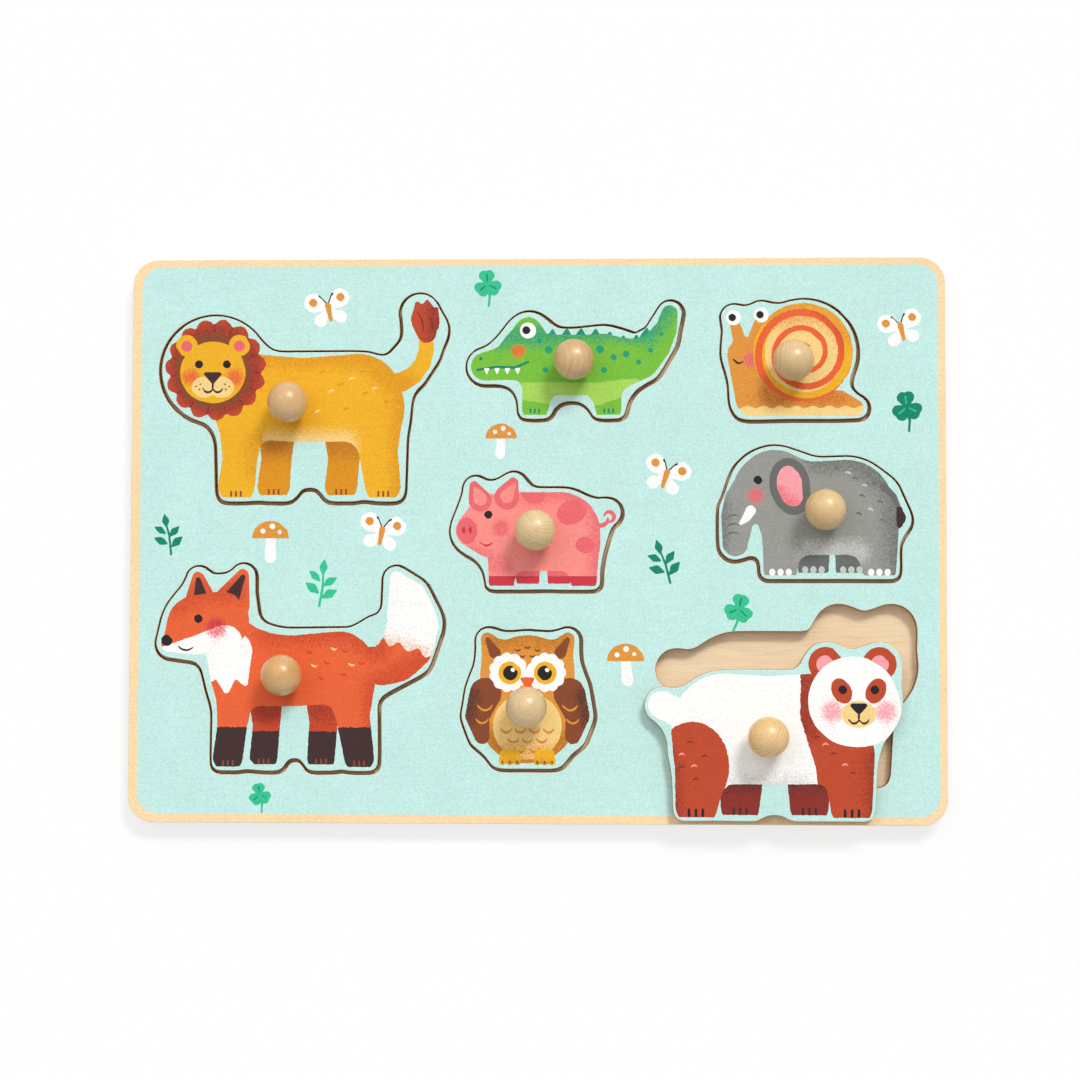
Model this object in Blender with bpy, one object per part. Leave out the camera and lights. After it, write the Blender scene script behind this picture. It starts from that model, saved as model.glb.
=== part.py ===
"""Wooden knob puzzle: a printed face plate glued on a back board, and eight lift-out animal pieces.

The face plate and the animals are cut from one printed sheet, so a seated piece lies flush in its
cut-out and rests on the back board. Each piece carries a turned wooden knob, held by a countersunk
screw that comes up from the back. The bear lies on the board beside its empty cut-out.

The origin is the centre of the underside, +X runs along the board and +Y up the picture.
Every piece, knob and screw hangs on an empty that stands on its knob's axis, along which it lifts.
"""
import math
from dataclasses import dataclass

import bmesh
import bpy

MM = 0.001

# Board
BOARD_LENGTH = 300 * MM
BOARD_WIDTH = 208 * MM
BOARD_CORNER_RADIUS = 9.5 * MM
BACK_THICKNESS = 3 * MM
SHEET_THICKNESS = 4 * MM
SEAT_GAP = 0.3 * MM          # air between two pieces that touch

# Cut lines
PRINT_MARGIN = 2.6 * MM      # bare ground left round each animal
CUT_PLAY = 0.7 * MM          # width of the saw cut round a piece
CUT_TOLERANCE = 0.1 * MM     # how far a straight run may leave the curve
LONGEST_RUN = 6 * MM

# Knob
KNOB_DIAMETER = 15 * MM
KNOB_FOOT_DIAMETER = 9.4 * MM
KNOB_FOOT_HEIGHT = 0.9 * MM
KNOB_NECK_DIAMETER = 7.8 * MM
KNOB_NECK_HEIGHT = 1.9 * MM
KNOB_SIDES = 24
KNOB_RINGS = 8

# Screw
SCREW_SHANK_DIAMETER = 3 * MM
SCREW_HEAD_DIAMETER = 5.6 * MM
SCREW_RIM = 0.3 * MM         # straight edge of the head
SCREW_SINK = 0.2 * MM        # how far the head lies below the piece's back
SCREW_BITE = 7.6 * MM        # length inside the knob
SCREW_POINT = 2 * MM
SCREW_SIDES = 16
SCREW_PLAY = 0.3 * MM        # air round the shank and under the head
RECESS_SPAN = 3 * MM
RECESS_SLOT = 0.8 * MM
RECESS_DEPTH = 0.9 * MM

# Levels above the surface that the puzzle lies on
FLOOR_LEVEL = BACK_THICKNESS
SHEET_LEVEL = FLOOR_LEVEL + SEAT_GAP
FACE_LEVEL = SHEET_LEVEL + SHEET_THICKNESS
LIFTED_LEVEL = FACE_LEVEL + SEAT_GAP

# The picture is drawn on a sheet of 300 by 208 units, one to the millimetre on this board.
DRAWING = (300, 208)
UNIT = min(BOARD_LENGTH / DRAWING[0], BOARD_WIDTH / DRAWING[1])
BLEND = 6 * UNIT             # how softly neighbouring strokes run into each other
SOLE_BLEND = 2 * UNIT        # how softly the feet round into the flat under them
SLOPE_STEP = 0.01 * UNIT     # spacing at which a field's slope is felt


@dataclass
class Animal:
    """A figure drawn in round strokes, in drawing units from its knob.

    A stroke is a list of discs (x, y, radius) that a tapered line joins. Webs are strokes without
    print, which keep the cut line from running up between legs. The sole is the level of the feet.
    """
    name: str
    knob_place: tuple
    strokes: list
    webs: list
    sole: float
    colour: str
    lies_at: tuple = None    # where the piece lies instead, from its cut-out


def leg(top_x, top_y, top_radius, foot_x, foot_y, foot_radius):
    """A stroke that tapers from the body to the foot."""
    return [(top_x, top_y, top_radius), (foot_x, foot_y, foot_radius)]


ANIMALS = [
    Animal(
        name="lion", knob_place=(-91, 50), sole=-33.5, colour="#f0b322",
        strokes=[
            [(-28, 13, 17.5)],
            [(-12, 2, 15), (26, 2, 15)],
            leg(-18, -6, 7, -19, -31, 5.2),
            leg(-5, -8, 6.5, -5, -31, 5.2),
            leg(20, -6, 8, 20, -31, 5.2),
            leg(33, -4, 8, 35, -31, 5.2),
            [(38, 8, 4), (45, 11, 2.8), (50, 18, 2.5), (50, 26, 2.5)],
            leg(50, 28, 5.5, 48, 34, 4.5),
        ],
        webs=[[(2, -22, 6), (13, -22, 6)], [(43, 17, 3)]]),
    Animal(
        name="fox", knob_place=(-92.5, -50), sole=-32.5, colour="#ea6538",
        strokes=[
            [(-33, 19, 9.5), (-24, 20, 10)],
            [(-33, 17, 8), (-42.5, 11.5, 2.4)],
            leg(-31, 25, 6, -32, 35.5, 2),
            leg(-20, 26, 6.5, -15.5, 36.5, 2),
            [(-22, 14, 8), (-13, 4, 12)],
            [(-14, 2, 12.5), (20, 3, 12)],
            leg(-18, -4, 6, -20, -31, 4.2),
            leg(-7, -6, 6, -6.5, -31, 4.2),
            leg(15, -4, 7, 14.5, -31, 4.2),
            leg(25, -2, 7, 28, -31, 4.2),
            [(27, 6, 5), (36, 3, 6.5), (44, 9, 8.5), (47, 19, 8.8), (45, 28, 6.5), (41, 35.5, 2.2)],
        ],
        webs=[[(-1, -21, 6), (9, -21, 6)], [(-25, 29, 3)], [(33, 15, 4)]]),
    Animal(
        name="crocodile", knob_place=(14, 65.5), sole=-18.5, colour="#78be3c",
        strokes=[
            [(-9, -1, 11), (9, -1, 11)],
            [(-18, 4, 8.5)],
            leg(-18, 1, 6.5, -33, -1.5, 4.2),
            [(-17, 12, 3.8)],
            [(12, -1, 10), (24, 1, 6.5), (31, 8, 4), (35, 18, 2)],
            leg(-13, -6, 5, -14.5, -17, 3.8),
            leg(11, -6, 5, 12.5, -17, 3.8),
        ],
        webs=[]),
    Animal(
        name="snail", knob_place=(94, 65), sole=-18.5, colour="#f2c53d",
        strokes=[
            [(4, 4, 17)],
            [(-14, -15, 4), (17, -15, 4), (23, -16.5, 2)],
            leg(-14, -12, 6, -17, 3, 5.8),
            leg(-18, 4, 3, -21.5, 17, 2.2),
            leg(-15, 5, 3, -11.5, 18, 2.2),
        ],
        webs=[[(-17, 9, 2)]]),
    Animal(
        name="pig", knob_place=(0, 3), sole=-19, colour="#f98d86",
        strokes=[
            [(-5, 0, 13.5), (9, 0, 13.5)],
            [(-15, 2, 11)],
            [(-24, 0, 4.6)],
            leg(-20, 9, 4.5, -22.5, 16, 1.8),
            leg(-11, 11, 4.5, -8.5, 17.5, 1.8),
            leg(-12, -8, 4.5, -12.5, -18, 3.6),
            leg(-3.5, -8, 4.5, -3, -18, 3.6),
            leg(9, -8, 4.5, 8.5, -18, 3.6),
            leg(16.5, -7, 4.5, 17.5, -18, 3.6),
            leg(20, 4, 2.6, 26, 7, 2.6),
        ],
        webs=[]),
    Animal(
        name="elephant", knob_place=(105.5, 10.5), sole=-22.5, colour="#959690",
        strokes=[
            [(-6, 1, 16), (8, 1, 16.5)],
            [(-18, 9, 12.5)],
            [(-24, 8, 7.5), (-31, 0, 5), (-32.5, -12, 3.4)],
            leg(-15, -8, 6.5, -16, -21, 5),
            leg(-4.5, -8, 6, -4, -21, 5),
            leg(10.5, -8, 6.5, 10, -21, 5),
            leg(18.5, -6, 6.5, 20, -21, 5),
            leg(22, 6, 2.2, 27, -3, 2),
        ],
        webs=[[(-25, -8, 3.5)]]),
    Animal(
        name="owl", knob_place=(-3, -61.5), sole=-20, colour="#e18235",
        strokes=[
            [(0, -2, 17.5), (0, 9, 16.5)],
            leg(-9.5, 16, 6, -14.5, 24.5, 2),
            leg(9.5, 16, 6, 14.5, 24.5, 2),
            [(-15, 5, 5), (-18, -3, 3.6), (-16.5, -10, 2.4)],
            [(15, 5, 5), (18, -3, 3.6), (16.5, -10, 2.4)],
            [(-6.5, -17, 4.6)],
            [(6.5, -17, 4.6)],
        ],
        webs=[]),
    Animal(
        name="bear", knob_place=(89.5, -59), sole=-28, colour="#be4b2d", lies_at=(-5, -13),
        strokes=[
            [(-15, 3, 19), (16, 3, 19)],
            [(31, 13, 15.5)],
            [(21, 26.5, 5.5)],
            [(40.5, 26.5, 5.5)],
            leg(-23.5, -8, 9, -25.5, -25, 6.4),
            leg(-9.5, -9, 8, -10, -25, 6.4),
            leg(15, -9, 8, 15, -25, 6.4),
            leg(29, -6, 8.5, 30, -25, 6.4),
            leg(-33, 9, 4.5, -38, 11.5, 4.2),
        ],
        webs=[[(2.5, -19, 6)]]),
]


def clear_scene():
    """Start from an empty scene."""
    for leftover in list(bpy.data.objects):
        bpy.data.objects.remove(leftover, do_unlink=True)


def make_material(name, colour, roughness, metallic=0.0):
    """A Principled material from an sRGB hex colour."""
    material = bpy.data.materials.new(name)
    material.use_nodes = True
    shader = material.node_tree.nodes["Principled BSDF"]
    srgb = [int(colour[digit:digit + 2], 16) / 255 for digit in (1, 3, 5)]
    linear = [value / 12.92 if value <= 0.04045 else ((value + 0.055) / 1.055) ** 2.4 for value in srgb]
    shader.inputs["Base Color"].default_value = (*linear, 1.0)
    shader.inputs["Roughness"].default_value = roughness
    shader.inputs["Metallic"].default_value = metallic
    return material


# Drawing a figure

def stroke_distance(x, y, stroke):
    """Distance from a point to a stroke's edge, negative inside."""
    ends = stroke if len(stroke) > 1 else stroke * 2
    return min(taper_distance(x, y, start, end) for start, end in zip(ends, ends[1:]))


def taper_distance(x, y, start, end):
    """Distance to the convex shape that two discs span."""
    start_x, start_y, start_radius = (UNIT * value for value in start)
    end_x, end_y, end_radius = (UNIT * value for value in end)
    span = math.hypot(end_x - start_x, end_y - start_y)
    if span <= abs(start_radius - end_radius):
        large = max(start, end, key=lambda disc: disc[2])
        return math.hypot(x - UNIT * large[0], y - UNIT * large[1]) - UNIT * large[2]
    along = ((x - start_x) * (end_x - start_x) + (y - start_y) * (end_y - start_y)) / span
    across = abs((x - start_x) * (end_y - start_y) - (y - start_y) * (end_x - start_x)) / span
    sine = (start_radius - end_radius) / span
    cosine = math.sqrt(1 - sine * sine)
    side = along * cosine - across * sine
    if side < 0:
        return math.hypot(along, across) - start_radius
    if side > cosine * span:
        return math.hypot(along - span, across) - end_radius
    return across * cosine + along * sine - start_radius


def soft_min(first, second, blend):
    """The smaller of two distances, rounded off where they are alike."""
    share = max(0.0, min(1.0, 0.5 + 0.5 * (second - first) / blend))
    return second + (first - second) * share - blend * share * (1 - share)


def figure_distance(animal, x, y):
    """Distance from a point to the figure's soft silhouette, negative inside."""
    strokes = animal.strokes + animal.webs
    distance = stroke_distance(x, y, strokes[0])
    for stroke in strokes[1:]:
        distance = soft_min(distance, stroke_distance(x, y, stroke), BLEND)
    return -soft_min(-distance, y - UNIT * animal.sole, SOLE_BLEND)


def figure_slope(animal, x, y):
    """How the distance grows along X and along Y."""
    across = figure_distance(animal, x + SLOPE_STEP, y) - figure_distance(animal, x - SLOPE_STEP, y)
    up = figure_distance(animal, x, y + SLOPE_STEP) - figure_distance(animal, x, y - SLOPE_STEP)
    return across / (2 * SLOPE_STEP), up / (2 * SLOPE_STEP)


def onto_cut_line(animal, x, y):
    """Slide a point down the slope to the line that is one print margin outside the figure."""
    for _ in range(4):
        slope_x, slope_y = figure_slope(animal, x, y)
        steepness = slope_x * slope_x + slope_y * slope_y
        excess = (figure_distance(animal, x, y) - PRINT_MARGIN) / steepness
        x -= excess * slope_x
        y -= excess * slope_y
    return x, y


def outward_normal(animal, x, y):
    """The direction that leads straight out of the figure."""
    slope_x, slope_y = figure_slope(animal, x, y)
    steepness = math.hypot(slope_x, slope_y)
    return slope_x / steepness, slope_y / steepness


def trace_cut_line(animal):
    """Walk counter-clockwise round the figure, in runs that are short where the line bends.

    Returns a list of ((x, y), (normal_x, normal_y)).
    """
    x = 0.0
    while figure_distance(animal, x, 0.0) < PRINT_MARGIN:
        x += LONGEST_RUN
    x, y = onto_cut_line(animal, x, 0.0)
    first = (x, y)
    normal = outward_normal(animal, x, y)
    line = [(first, normal)]
    run = LONGEST_RUN
    while True:
        while True:
            next_x, next_y = onto_cut_line(animal, x - normal[1] * run, y + normal[0] * run)
            next_normal = outward_normal(animal, next_x, next_y)
            bow = abs(figure_distance(animal, (x + next_x) / 2, (y + next_y) / 2) - PRINT_MARGIN)
            faces_alike = normal[0] * next_normal[0] + normal[1] * next_normal[1] > 0.7
            if bow <= CUT_TOLERANCE and faces_alike:
                break
            run *= 0.7
        to_first = math.hypot(next_x - first[0], next_y - first[1])
        if len(line) > 6 and to_first < run:
            break
        x, y, normal = next_x, next_y, next_normal
        line.append(((x, y), normal))
        run = min(run * 1.5, LONGEST_RUN)
    return line


def offset_line(line, offset):
    """The same line moved outwards, as plain points."""
    return [(x + normal_x * offset, y + normal_y * offset) for (x, y), (normal_x, normal_y) in line]


def moved(points, place):
    """Points moved by (x, y)."""
    return [(x + place[0], y + place[1]) for x, y in points]


def board_outline():
    """The board's rounded rectangle, counter-clockwise."""
    steps_per_corner = 8
    points = []
    for corner in range(4):
        sign_x = 1 if corner in (0, 3) else -1
        sign_y = 1 if corner in (0, 1) else -1
        centre_x = sign_x * (BOARD_LENGTH / 2 - BOARD_CORNER_RADIUS)
        centre_y = sign_y * (BOARD_WIDTH / 2 - BOARD_CORNER_RADIUS)
        for step in range(steps_per_corner + 1):
            angle = math.pi / 2 * (corner + step / steps_per_corner)
            points.append((centre_x + BOARD_CORNER_RADIUS * math.cos(angle),
                           centre_y + BOARD_CORNER_RADIUS * math.sin(angle)))
    return points


# Turning outlines and profiles into solids

def plate(name, outlines, bottom, thickness, material):
    """A flat solid with upright walls; every outline after the first is a hole."""
    mesh = bpy.data.meshes.new(name)
    work = bmesh.new()
    for outline in outlines:
        ring = [work.verts.new((x, y, bottom)) for x, y in outline]
        for start, end in zip(ring, ring[1:] + ring[:1]):
            work.edges.new((start, end))
    bmesh.ops.triangle_fill(work, use_beauty=True, use_dissolve=False, edges=work.edges[:])
    raised = bmesh.ops.extrude_face_region(work, geom=work.faces[:])
    top = [item for item in raised["geom"] if isinstance(item, bmesh.types.BMVert)]
    bmesh.ops.translate(work, verts=top, vec=(0, 0, thickness))
    bmesh.ops.recalc_face_normals(work, faces=work.faces[:])
    work.to_mesh(mesh)
    work.free()
    return place_object(name, mesh, material)


def turned(name, profile, sides, material):
    """A solid turned about Z from a profile of (radius, height), bottom to top on its outer side."""
    mesh = bpy.data.meshes.new(name)
    work = bmesh.new()
    rings = []
    for radius, height in profile:
        if radius == 0:
            rings.append([work.verts.new((0, 0, height))])
            continue
        angles = [2 * math.pi * side / sides for side in range(sides)]
        rings.append([work.verts.new((radius * math.cos(angle), radius * math.sin(angle), height))
                      for angle in angles])
    for lower, upper in zip(rings, rings[1:]):
        for side in range(sides):
            following = (side + 1) % sides
            if len(lower) == 1:
                work.faces.new((lower[0], upper[following], upper[side]))
            elif len(upper) == 1:
                work.faces.new((lower[side], lower[following], upper[0]))
            else:
                work.faces.new((lower[side], lower[following], upper[following], upper[side]))
    bmesh.ops.recalc_face_normals(work, faces=work.faces[:])
    work.to_mesh(mesh)
    work.free()
    mesh.shade_smooth()
    mesh.set_sharp_from_angle(angle=math.radians(40))
    return place_object(name, mesh, material)


def place_object(name, mesh, material):
    """Link a mesh into the scene as a named object."""
    piece = bpy.data.objects.new(name, mesh)
    if material:
        mesh.materials.append(material)
    bpy.context.collection.objects.link(piece)
    return piece


def cut_from(piece, cutter):
    """Cut one shape out of another and keep the cutter as a guide only."""
    cutter.hide_render = True
    cutter.display_type = "WIRE"
    cut = piece.modifiers.new(cutter.name, "BOOLEAN")
    cut.operation = "DIFFERENCE"
    cut.solver = "EXACT"
    cut.object = cutter


# The pieces

def make_board(cut_outs):
    """The back board, and over it the face plate with its cut-outs."""
    plywood = make_material("plywood", "#e8ccaa", 0.6)
    printed_sheet = make_material("printed_sheet", "#c7eee9", 0.55)
    plate("back_board", [board_outline()], 0, BACK_THICKNESS, plywood)
    plate("face_plate", [board_outline()] + cut_outs, SHEET_LEVEL, SHEET_THICKNESS, printed_sheet)


def knob_profile():
    """Foot, neck and ball, with the blind hole that the screw bites into."""
    hole_radius = SCREW_SHANK_DIAMETER / 2 + SCREW_PLAY
    hole_depth = SCREW_BITE + SCREW_PLAY
    ball_radius = KNOB_DIAMETER / 2
    neck_radius = KNOB_NECK_DIAMETER / 2
    ball_centre = KNOB_NECK_HEIGHT + math.sqrt(ball_radius ** 2 - neck_radius ** 2)
    start = -math.acos(neck_radius / ball_radius)
    profile = [(0, hole_depth), (hole_radius, hole_depth), (hole_radius, 0),
               (KNOB_FOOT_DIAMETER / 2, 0), (KNOB_FOOT_DIAMETER / 2, KNOB_FOOT_HEIGHT)]
    for ring in range(KNOB_RINGS):
        angle = start + (math.pi / 2 - start) * ring / KNOB_RINGS
        profile.append((ball_radius * math.cos(angle), ball_centre + ball_radius * math.sin(angle)))
    return profile + [(0, ball_centre + ball_radius)]


def screw_profile():
    """Countersunk head down, shank and point up."""
    head_radius = SCREW_HEAD_DIAMETER / 2
    shank_radius = SCREW_SHANK_DIAMETER / 2
    rim_top = SCREW_SINK + SCREW_RIM
    tip = SHEET_THICKNESS + SEAT_GAP + SCREW_BITE
    return [(0, SCREW_SINK), (head_radius, SCREW_SINK), (head_radius, rim_top),
            (shank_radius, rim_top + head_radius - shank_radius), (shank_radius, tip - SCREW_POINT), (0, tip)]


def drill_profile():
    """What is drilled and countersunk out of a piece for its screw."""
    beyond = SHEET_THICKNESS / 4
    mouth_radius = SCREW_HEAD_DIAMETER / 2 + SCREW_PLAY
    hole_radius = SCREW_SHANK_DIAMETER / 2 + SCREW_PLAY
    mouth_top = SCREW_SINK + SCREW_RIM
    return [(0, -beyond), (mouth_radius, -beyond), (mouth_radius, mouth_top),
            (hole_radius, mouth_top + mouth_radius - hole_radius),
            (hole_radius, SHEET_THICKNESS + beyond), (0, SHEET_THICKNESS + beyond)]


def cross_outline():
    """The screwdriver's cross, counter-clockwise."""
    reach = RECESS_SPAN / 2
    half_slot = RECESS_SLOT / 2
    points = []
    for quarter in range(4):
        cosine = round(math.cos(quarter * math.pi / 2))
        sine = round(math.sin(quarter * math.pi / 2))
        for x, y in ((reach, -half_slot), (reach, half_slot), (half_slot, half_slot)):
            points.append((x * cosine - y * sine, x * sine + y * cosine))
    return points


def make_lift_out(animal, line, place, level, knob_wood, steel):
    """One animal with its knob and screw, on an empty that stands on the knob's axis."""
    axis = bpy.data.objects.new(animal.name + "_axis", None)
    axis.location = (*place, level)
    bpy.context.collection.objects.link(axis)

    print_ink = make_material(animal.name + "_print", animal.colour, 0.55)
    piece = plate(animal.name + "_piece", [offset_line(line, 0)], 0, SHEET_THICKNESS, print_ink)
    drill = turned(animal.name + "_drill", drill_profile(), SCREW_SIDES, None)
    cut_from(piece, drill)

    knob = turned(animal.name + "_knob", knob_profile(), KNOB_SIDES, knob_wood)
    knob.location.z = SHEET_THICKNESS + SEAT_GAP

    screw = turned(animal.name + "_screw", screw_profile(), SCREW_SIDES, steel)
    recess = plate(animal.name + "_recess", [cross_outline()], 0, SCREW_SINK + RECESS_DEPTH, None)
    cut_from(screw, recess)

    for part in (piece, drill, knob, screw, recess):
        part.parent = axis


def main():
    """Lay out the picture, cut it and fit the knobs."""
    clear_scene()
    knob_wood = make_material("knob_wood", "#d9b07e", 0.45)
    steel = make_material("zinc_plated_steel", "#b9bcc0", 0.35, metallic=1.0)
    cut_outs = []
    for animal in ANIMALS:
        line = trace_cut_line(animal)
        seat = (animal.knob_place[0] * BOARD_LENGTH / DRAWING[0],
                animal.knob_place[1] * BOARD_WIDTH / DRAWING[1])
        cut_outs.append(moved(offset_line(line, CUT_PLAY), seat))
        if animal.lies_at:
            place = (seat[0] + animal.lies_at[0] * UNIT, seat[1] + animal.lies_at[1] * UNIT)
            make_lift_out(animal, line, place, LIFTED_LEVEL, knob_wood, steel)
        else:
            make_lift_out(animal, line, seat, SHEET_LEVEL, knob_wood, steel)
    make_board(cut_outs)


main()
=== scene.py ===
"""Looks of a wooden lift-out puzzle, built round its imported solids.

A printed face plate with eight cut-outs lies on a plain back board. Eight animal pieces fill the
cut-outs, each with a turned knob held by a screw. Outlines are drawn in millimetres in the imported
model's own frame, and become metres where a mesh is made.
"""

import logging
from dataclasses import dataclass, field
from enum import Enum
from functools import partial
from math import acos, ceil, cos, dist, floor, hypot, pi, radians, sin, sqrt
from typing import Callable, Sequence

import bpy
import numpy as np
from bpy.types import Material, Mesh, Node, NodeSocket, NodeTree, Object, Scene
from mathutils import Euler, Matrix, Vector
from mathutils.geometry import delaunay_2d_cdt


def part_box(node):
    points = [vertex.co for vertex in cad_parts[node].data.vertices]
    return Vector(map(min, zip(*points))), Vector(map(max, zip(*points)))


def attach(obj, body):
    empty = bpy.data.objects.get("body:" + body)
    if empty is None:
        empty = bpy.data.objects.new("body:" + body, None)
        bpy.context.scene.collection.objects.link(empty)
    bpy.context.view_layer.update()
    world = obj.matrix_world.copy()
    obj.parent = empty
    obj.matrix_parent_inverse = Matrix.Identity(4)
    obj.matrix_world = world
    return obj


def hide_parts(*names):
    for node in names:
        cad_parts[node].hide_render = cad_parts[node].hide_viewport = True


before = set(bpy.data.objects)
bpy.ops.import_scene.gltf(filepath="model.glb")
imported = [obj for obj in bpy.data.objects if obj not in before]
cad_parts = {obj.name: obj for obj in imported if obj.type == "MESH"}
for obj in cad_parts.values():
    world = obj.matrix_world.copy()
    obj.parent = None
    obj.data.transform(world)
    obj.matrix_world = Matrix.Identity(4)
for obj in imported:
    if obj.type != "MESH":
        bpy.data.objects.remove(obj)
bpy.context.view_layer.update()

MM = 0.001
LOG = logging.getLogger("puzzle")

Field = np.ndarray                          # one number for each point of a grid
Loop = np.ndarray                           # a closed outline, one point to a row
Place = tuple[float, float]
Triple = tuple[float, float, float]         # along X, Y and Z
Disc = Triple                               # x, y and radius
Window = tuple[float, float, float, float]  # lowest x and y, highest x and y
Colour = tuple[float, float, float, float]

PLAIN_WHITE: Colour = (1.0, 1.0, 1.0, 1.0)
EVERYWHERE: Window = (-1e6, -1e6, 1e6, 1e6)
TRACE_STEP = 0.3           # grid on which a printed rim is found
TRACE_TOLERANCE = 0.025    # how far a traced rim may leave the grid's own line
CUT_TOLERANCE = 0.008      # how far a smoothed cut line may leave the curve
SEED_MARGIN = 0.4          # how far a stored point of stipple stays from the rim
CUT_TAPER = 0.18           # how much each side of a laser cut leans back from foot to face
MERGE_DISTANCE = 1e-4      # points nearer than this become one
CRACK = 1e-3               # a corner this near to a side lies on it
TESTS_AT_ONCE = 2_000_000  # points times sides, to save memory
SHARP_ANGLE = 40.0         # degrees from which an edge isn't shaded over
HASH = (12.9898, 78.233, 43758.5453)  # the usual numbers for a hash made of a sine


class Ink(Enum):
    """Screen-printing inks, as sRGB hex values."""

    MINT = "#c4ebe4"
    CREAM = "#fbdbab"
    WHITE = "#fdfcf9"
    BLACK = "#201d1f"
    GOLD = "#f0b225"
    AMBER = "#dd931c"
    TAN = "#bb741f"
    SAND = "#f8d48a"
    OCHRE = "#e1953d"
    ORANGE = "#ea6538"
    RUST = "#c9482a"
    CHESTNUT = "#be4b2d"
    MAROON = "#8b3129"
    COCOA = "#3f2a2a"
    BROWN = "#87492c"
    PINK = "#f9a3aa"
    CORAL = "#fa928a"
    ROSE = "#ea6a70"
    CRIMSON = "#cb3b48"
    GREY = "#989993"
    SLATE = "#6a6c69"
    PALE_GREY = "#c9cac5"
    LEAF = "#79bf3d"
    LIME = "#a8d75c"
    TEAL = "#229e78"
    PINE = "#0f8567"
    SEA_GREEN = "#37c290"


(MINT, CREAM, WHITE, BLACK, GOLD, AMBER, TAN, SAND, OCHRE, ORANGE, RUST, CHESTNUT, MAROON, COCOA, BROWN,
 PINK, CORAL, ROSE, CRIMSON, GREY, SLATE, PALE_GREY, LEAF, LIME, TEAL, PINE, SEA_GREEN) = Ink


def linear(colour: str) -> Colour:
    """Turn an sRGB hex value into the linear colour that a shader takes.

    Args:
        colour: Hex value such as "#c7eee9".

    Returns:
        Red, green, blue and an alpha of one.
    """
    shares = [int(colour[start:start + 2], 16) / 255 for start in (1, 3, 5)]
    red, green, blue = (
        share / 12.92 if share <= 0.04045 else ((share + 0.055) / 1.055) ** 2.4 for share in shares
    )
    return red, green, blue, 1.0


def lattice_noise(x: Field, y: Field, pitch: float) -> Field:
    """Smooth noise from -1 to 1.

    Args:
        x: Abscissae.
        y: Ordinates.
        pitch: Distance between two bumps.

    Returns:
        The noise at each point.
    """
    cell_x, cell_y = np.floor(x / pitch), np.floor(y / pitch)
    share_x, share_y = x / pitch - cell_x, y / pitch - cell_y
    share_x = share_x * share_x * (3 - 2 * share_x)
    share_y = share_y * share_y * (3 - 2 * share_y)

    def knot(step_x: int, step_y: int) -> Field:
        """The lattice's own value at one corner of each point's cell."""
        wave = np.sin((cell_x + step_x) * HASH[0] + (cell_y + step_y) * HASH[1]) * HASH[2]
        return 2 * (wave - np.floor(wave)) - 1

    low = knot(0, 0) * (1 - share_x) + knot(1, 0) * share_x
    high = knot(0, 1) * (1 - share_x) + knot(1, 1) * share_x
    return low * (1 - share_y) + high * share_y


class Shape:
    """A flat form whose distance is below zero inside it."""

    def distance(self, x: Field, y: Field) -> Field:
        """Signed distance of each point from the form's rim.

        Args:
            x: Abscissae.
            y: Ordinates.

        Returns:
            The distances, below zero inside.
        """
        raise NotImplementedError

    def window(self) -> Window:
        """The box that the form lies in."""
        return EVERYWHERE

    def rims(self) -> list[Loop]:
        """The closed outlines of the form, traced on a grid."""
        return traced(self)

    def brushed(self, depth: float = 0.16, pitch: float = 0.7) -> "Shape":
        """The same form with the ragged rim of a half-dry brush."""
        return Brushed(self, depth, pitch)


@dataclass(frozen=True)
class Stroke(Shape):
    """A line of discs, each run tapering from one disc to the next."""

    discs: tuple[Disc, ...]

    def distance(self, x: Field, y: Field) -> Field:
        """Distance from the nearest run."""
        ends = self.discs if len(self.discs) > 1 else self.discs * 2
        return np.minimum.reduce([self.run(x, y, start, end) for start, end in zip(ends, ends[1:])])

    @staticmethod
    def run(x: Field, y: Field, start: Disc, end: Disc) -> Field:
        """Distance from one tapered run.

        Args:
            x: Abscissae.
            y: Ordinates.
            start: First disc.
            end: Last disc.

        Returns:
            The distances, below zero inside.
        """
        span = hypot(end[0] - start[0], end[1] - start[1])
        if span <= abs(start[2] - end[2]):
            larger = max(start, end, key=lambda disc: disc[2])
            return np.hypot(x - larger[0], y - larger[1]) - larger[2]
        way_x, way_y = (end[0] - start[0]) / span, (end[1] - start[1]) / span
        along = (x - start[0]) * way_x + (y - start[1]) * way_y
        across = np.abs((x - start[0]) * way_y - (y - start[1]) * way_x)
        sine = (start[2] - end[2]) / span
        cosine = sqrt(1 - sine * sine)
        side = along * cosine - across * sine
        flank = across * cosine + along * sine - start[2]
        tail = np.hypot(along - span, across) - end[2]
        return np.where(side < 0, np.hypot(along, across) - start[2],
                        np.where(side > cosine * span, tail, flank))

    def window(self) -> Window:
        """The box round all discs."""
        x, y, radius = np.array(self.discs).T
        return min(x - radius), min(y - radius), max(x + radius), max(y + radius)


@dataclass(frozen=True)
class Blend(Shape):
    """Several forms that flow into each other."""

    parts: tuple[Shape, ...]
    softness: float

    def distance(self, x: Field, y: Field) -> Field:
        """Smooth least of the parts' distances.

        Args:
            x: Abscissae.
            y: Ordinates.

        Returns:
            The distances, below zero inside.
        """
        total = self.parts[0].distance(x, y)
        for part in self.parts[1:]:
            other = part.distance(x, y)
            share = np.clip(0.5 + 0.5 * (other - total) / self.softness, 0, 1)
            total = other + (total - other) * share - self.softness * share * (1 - share)
        return total

    def window(self) -> Window:
        """The box round all parts, and a little more for what the blending adds."""
        return widened(joint_window([part.window() for part in self.parts]), self.softness / 2)


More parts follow.
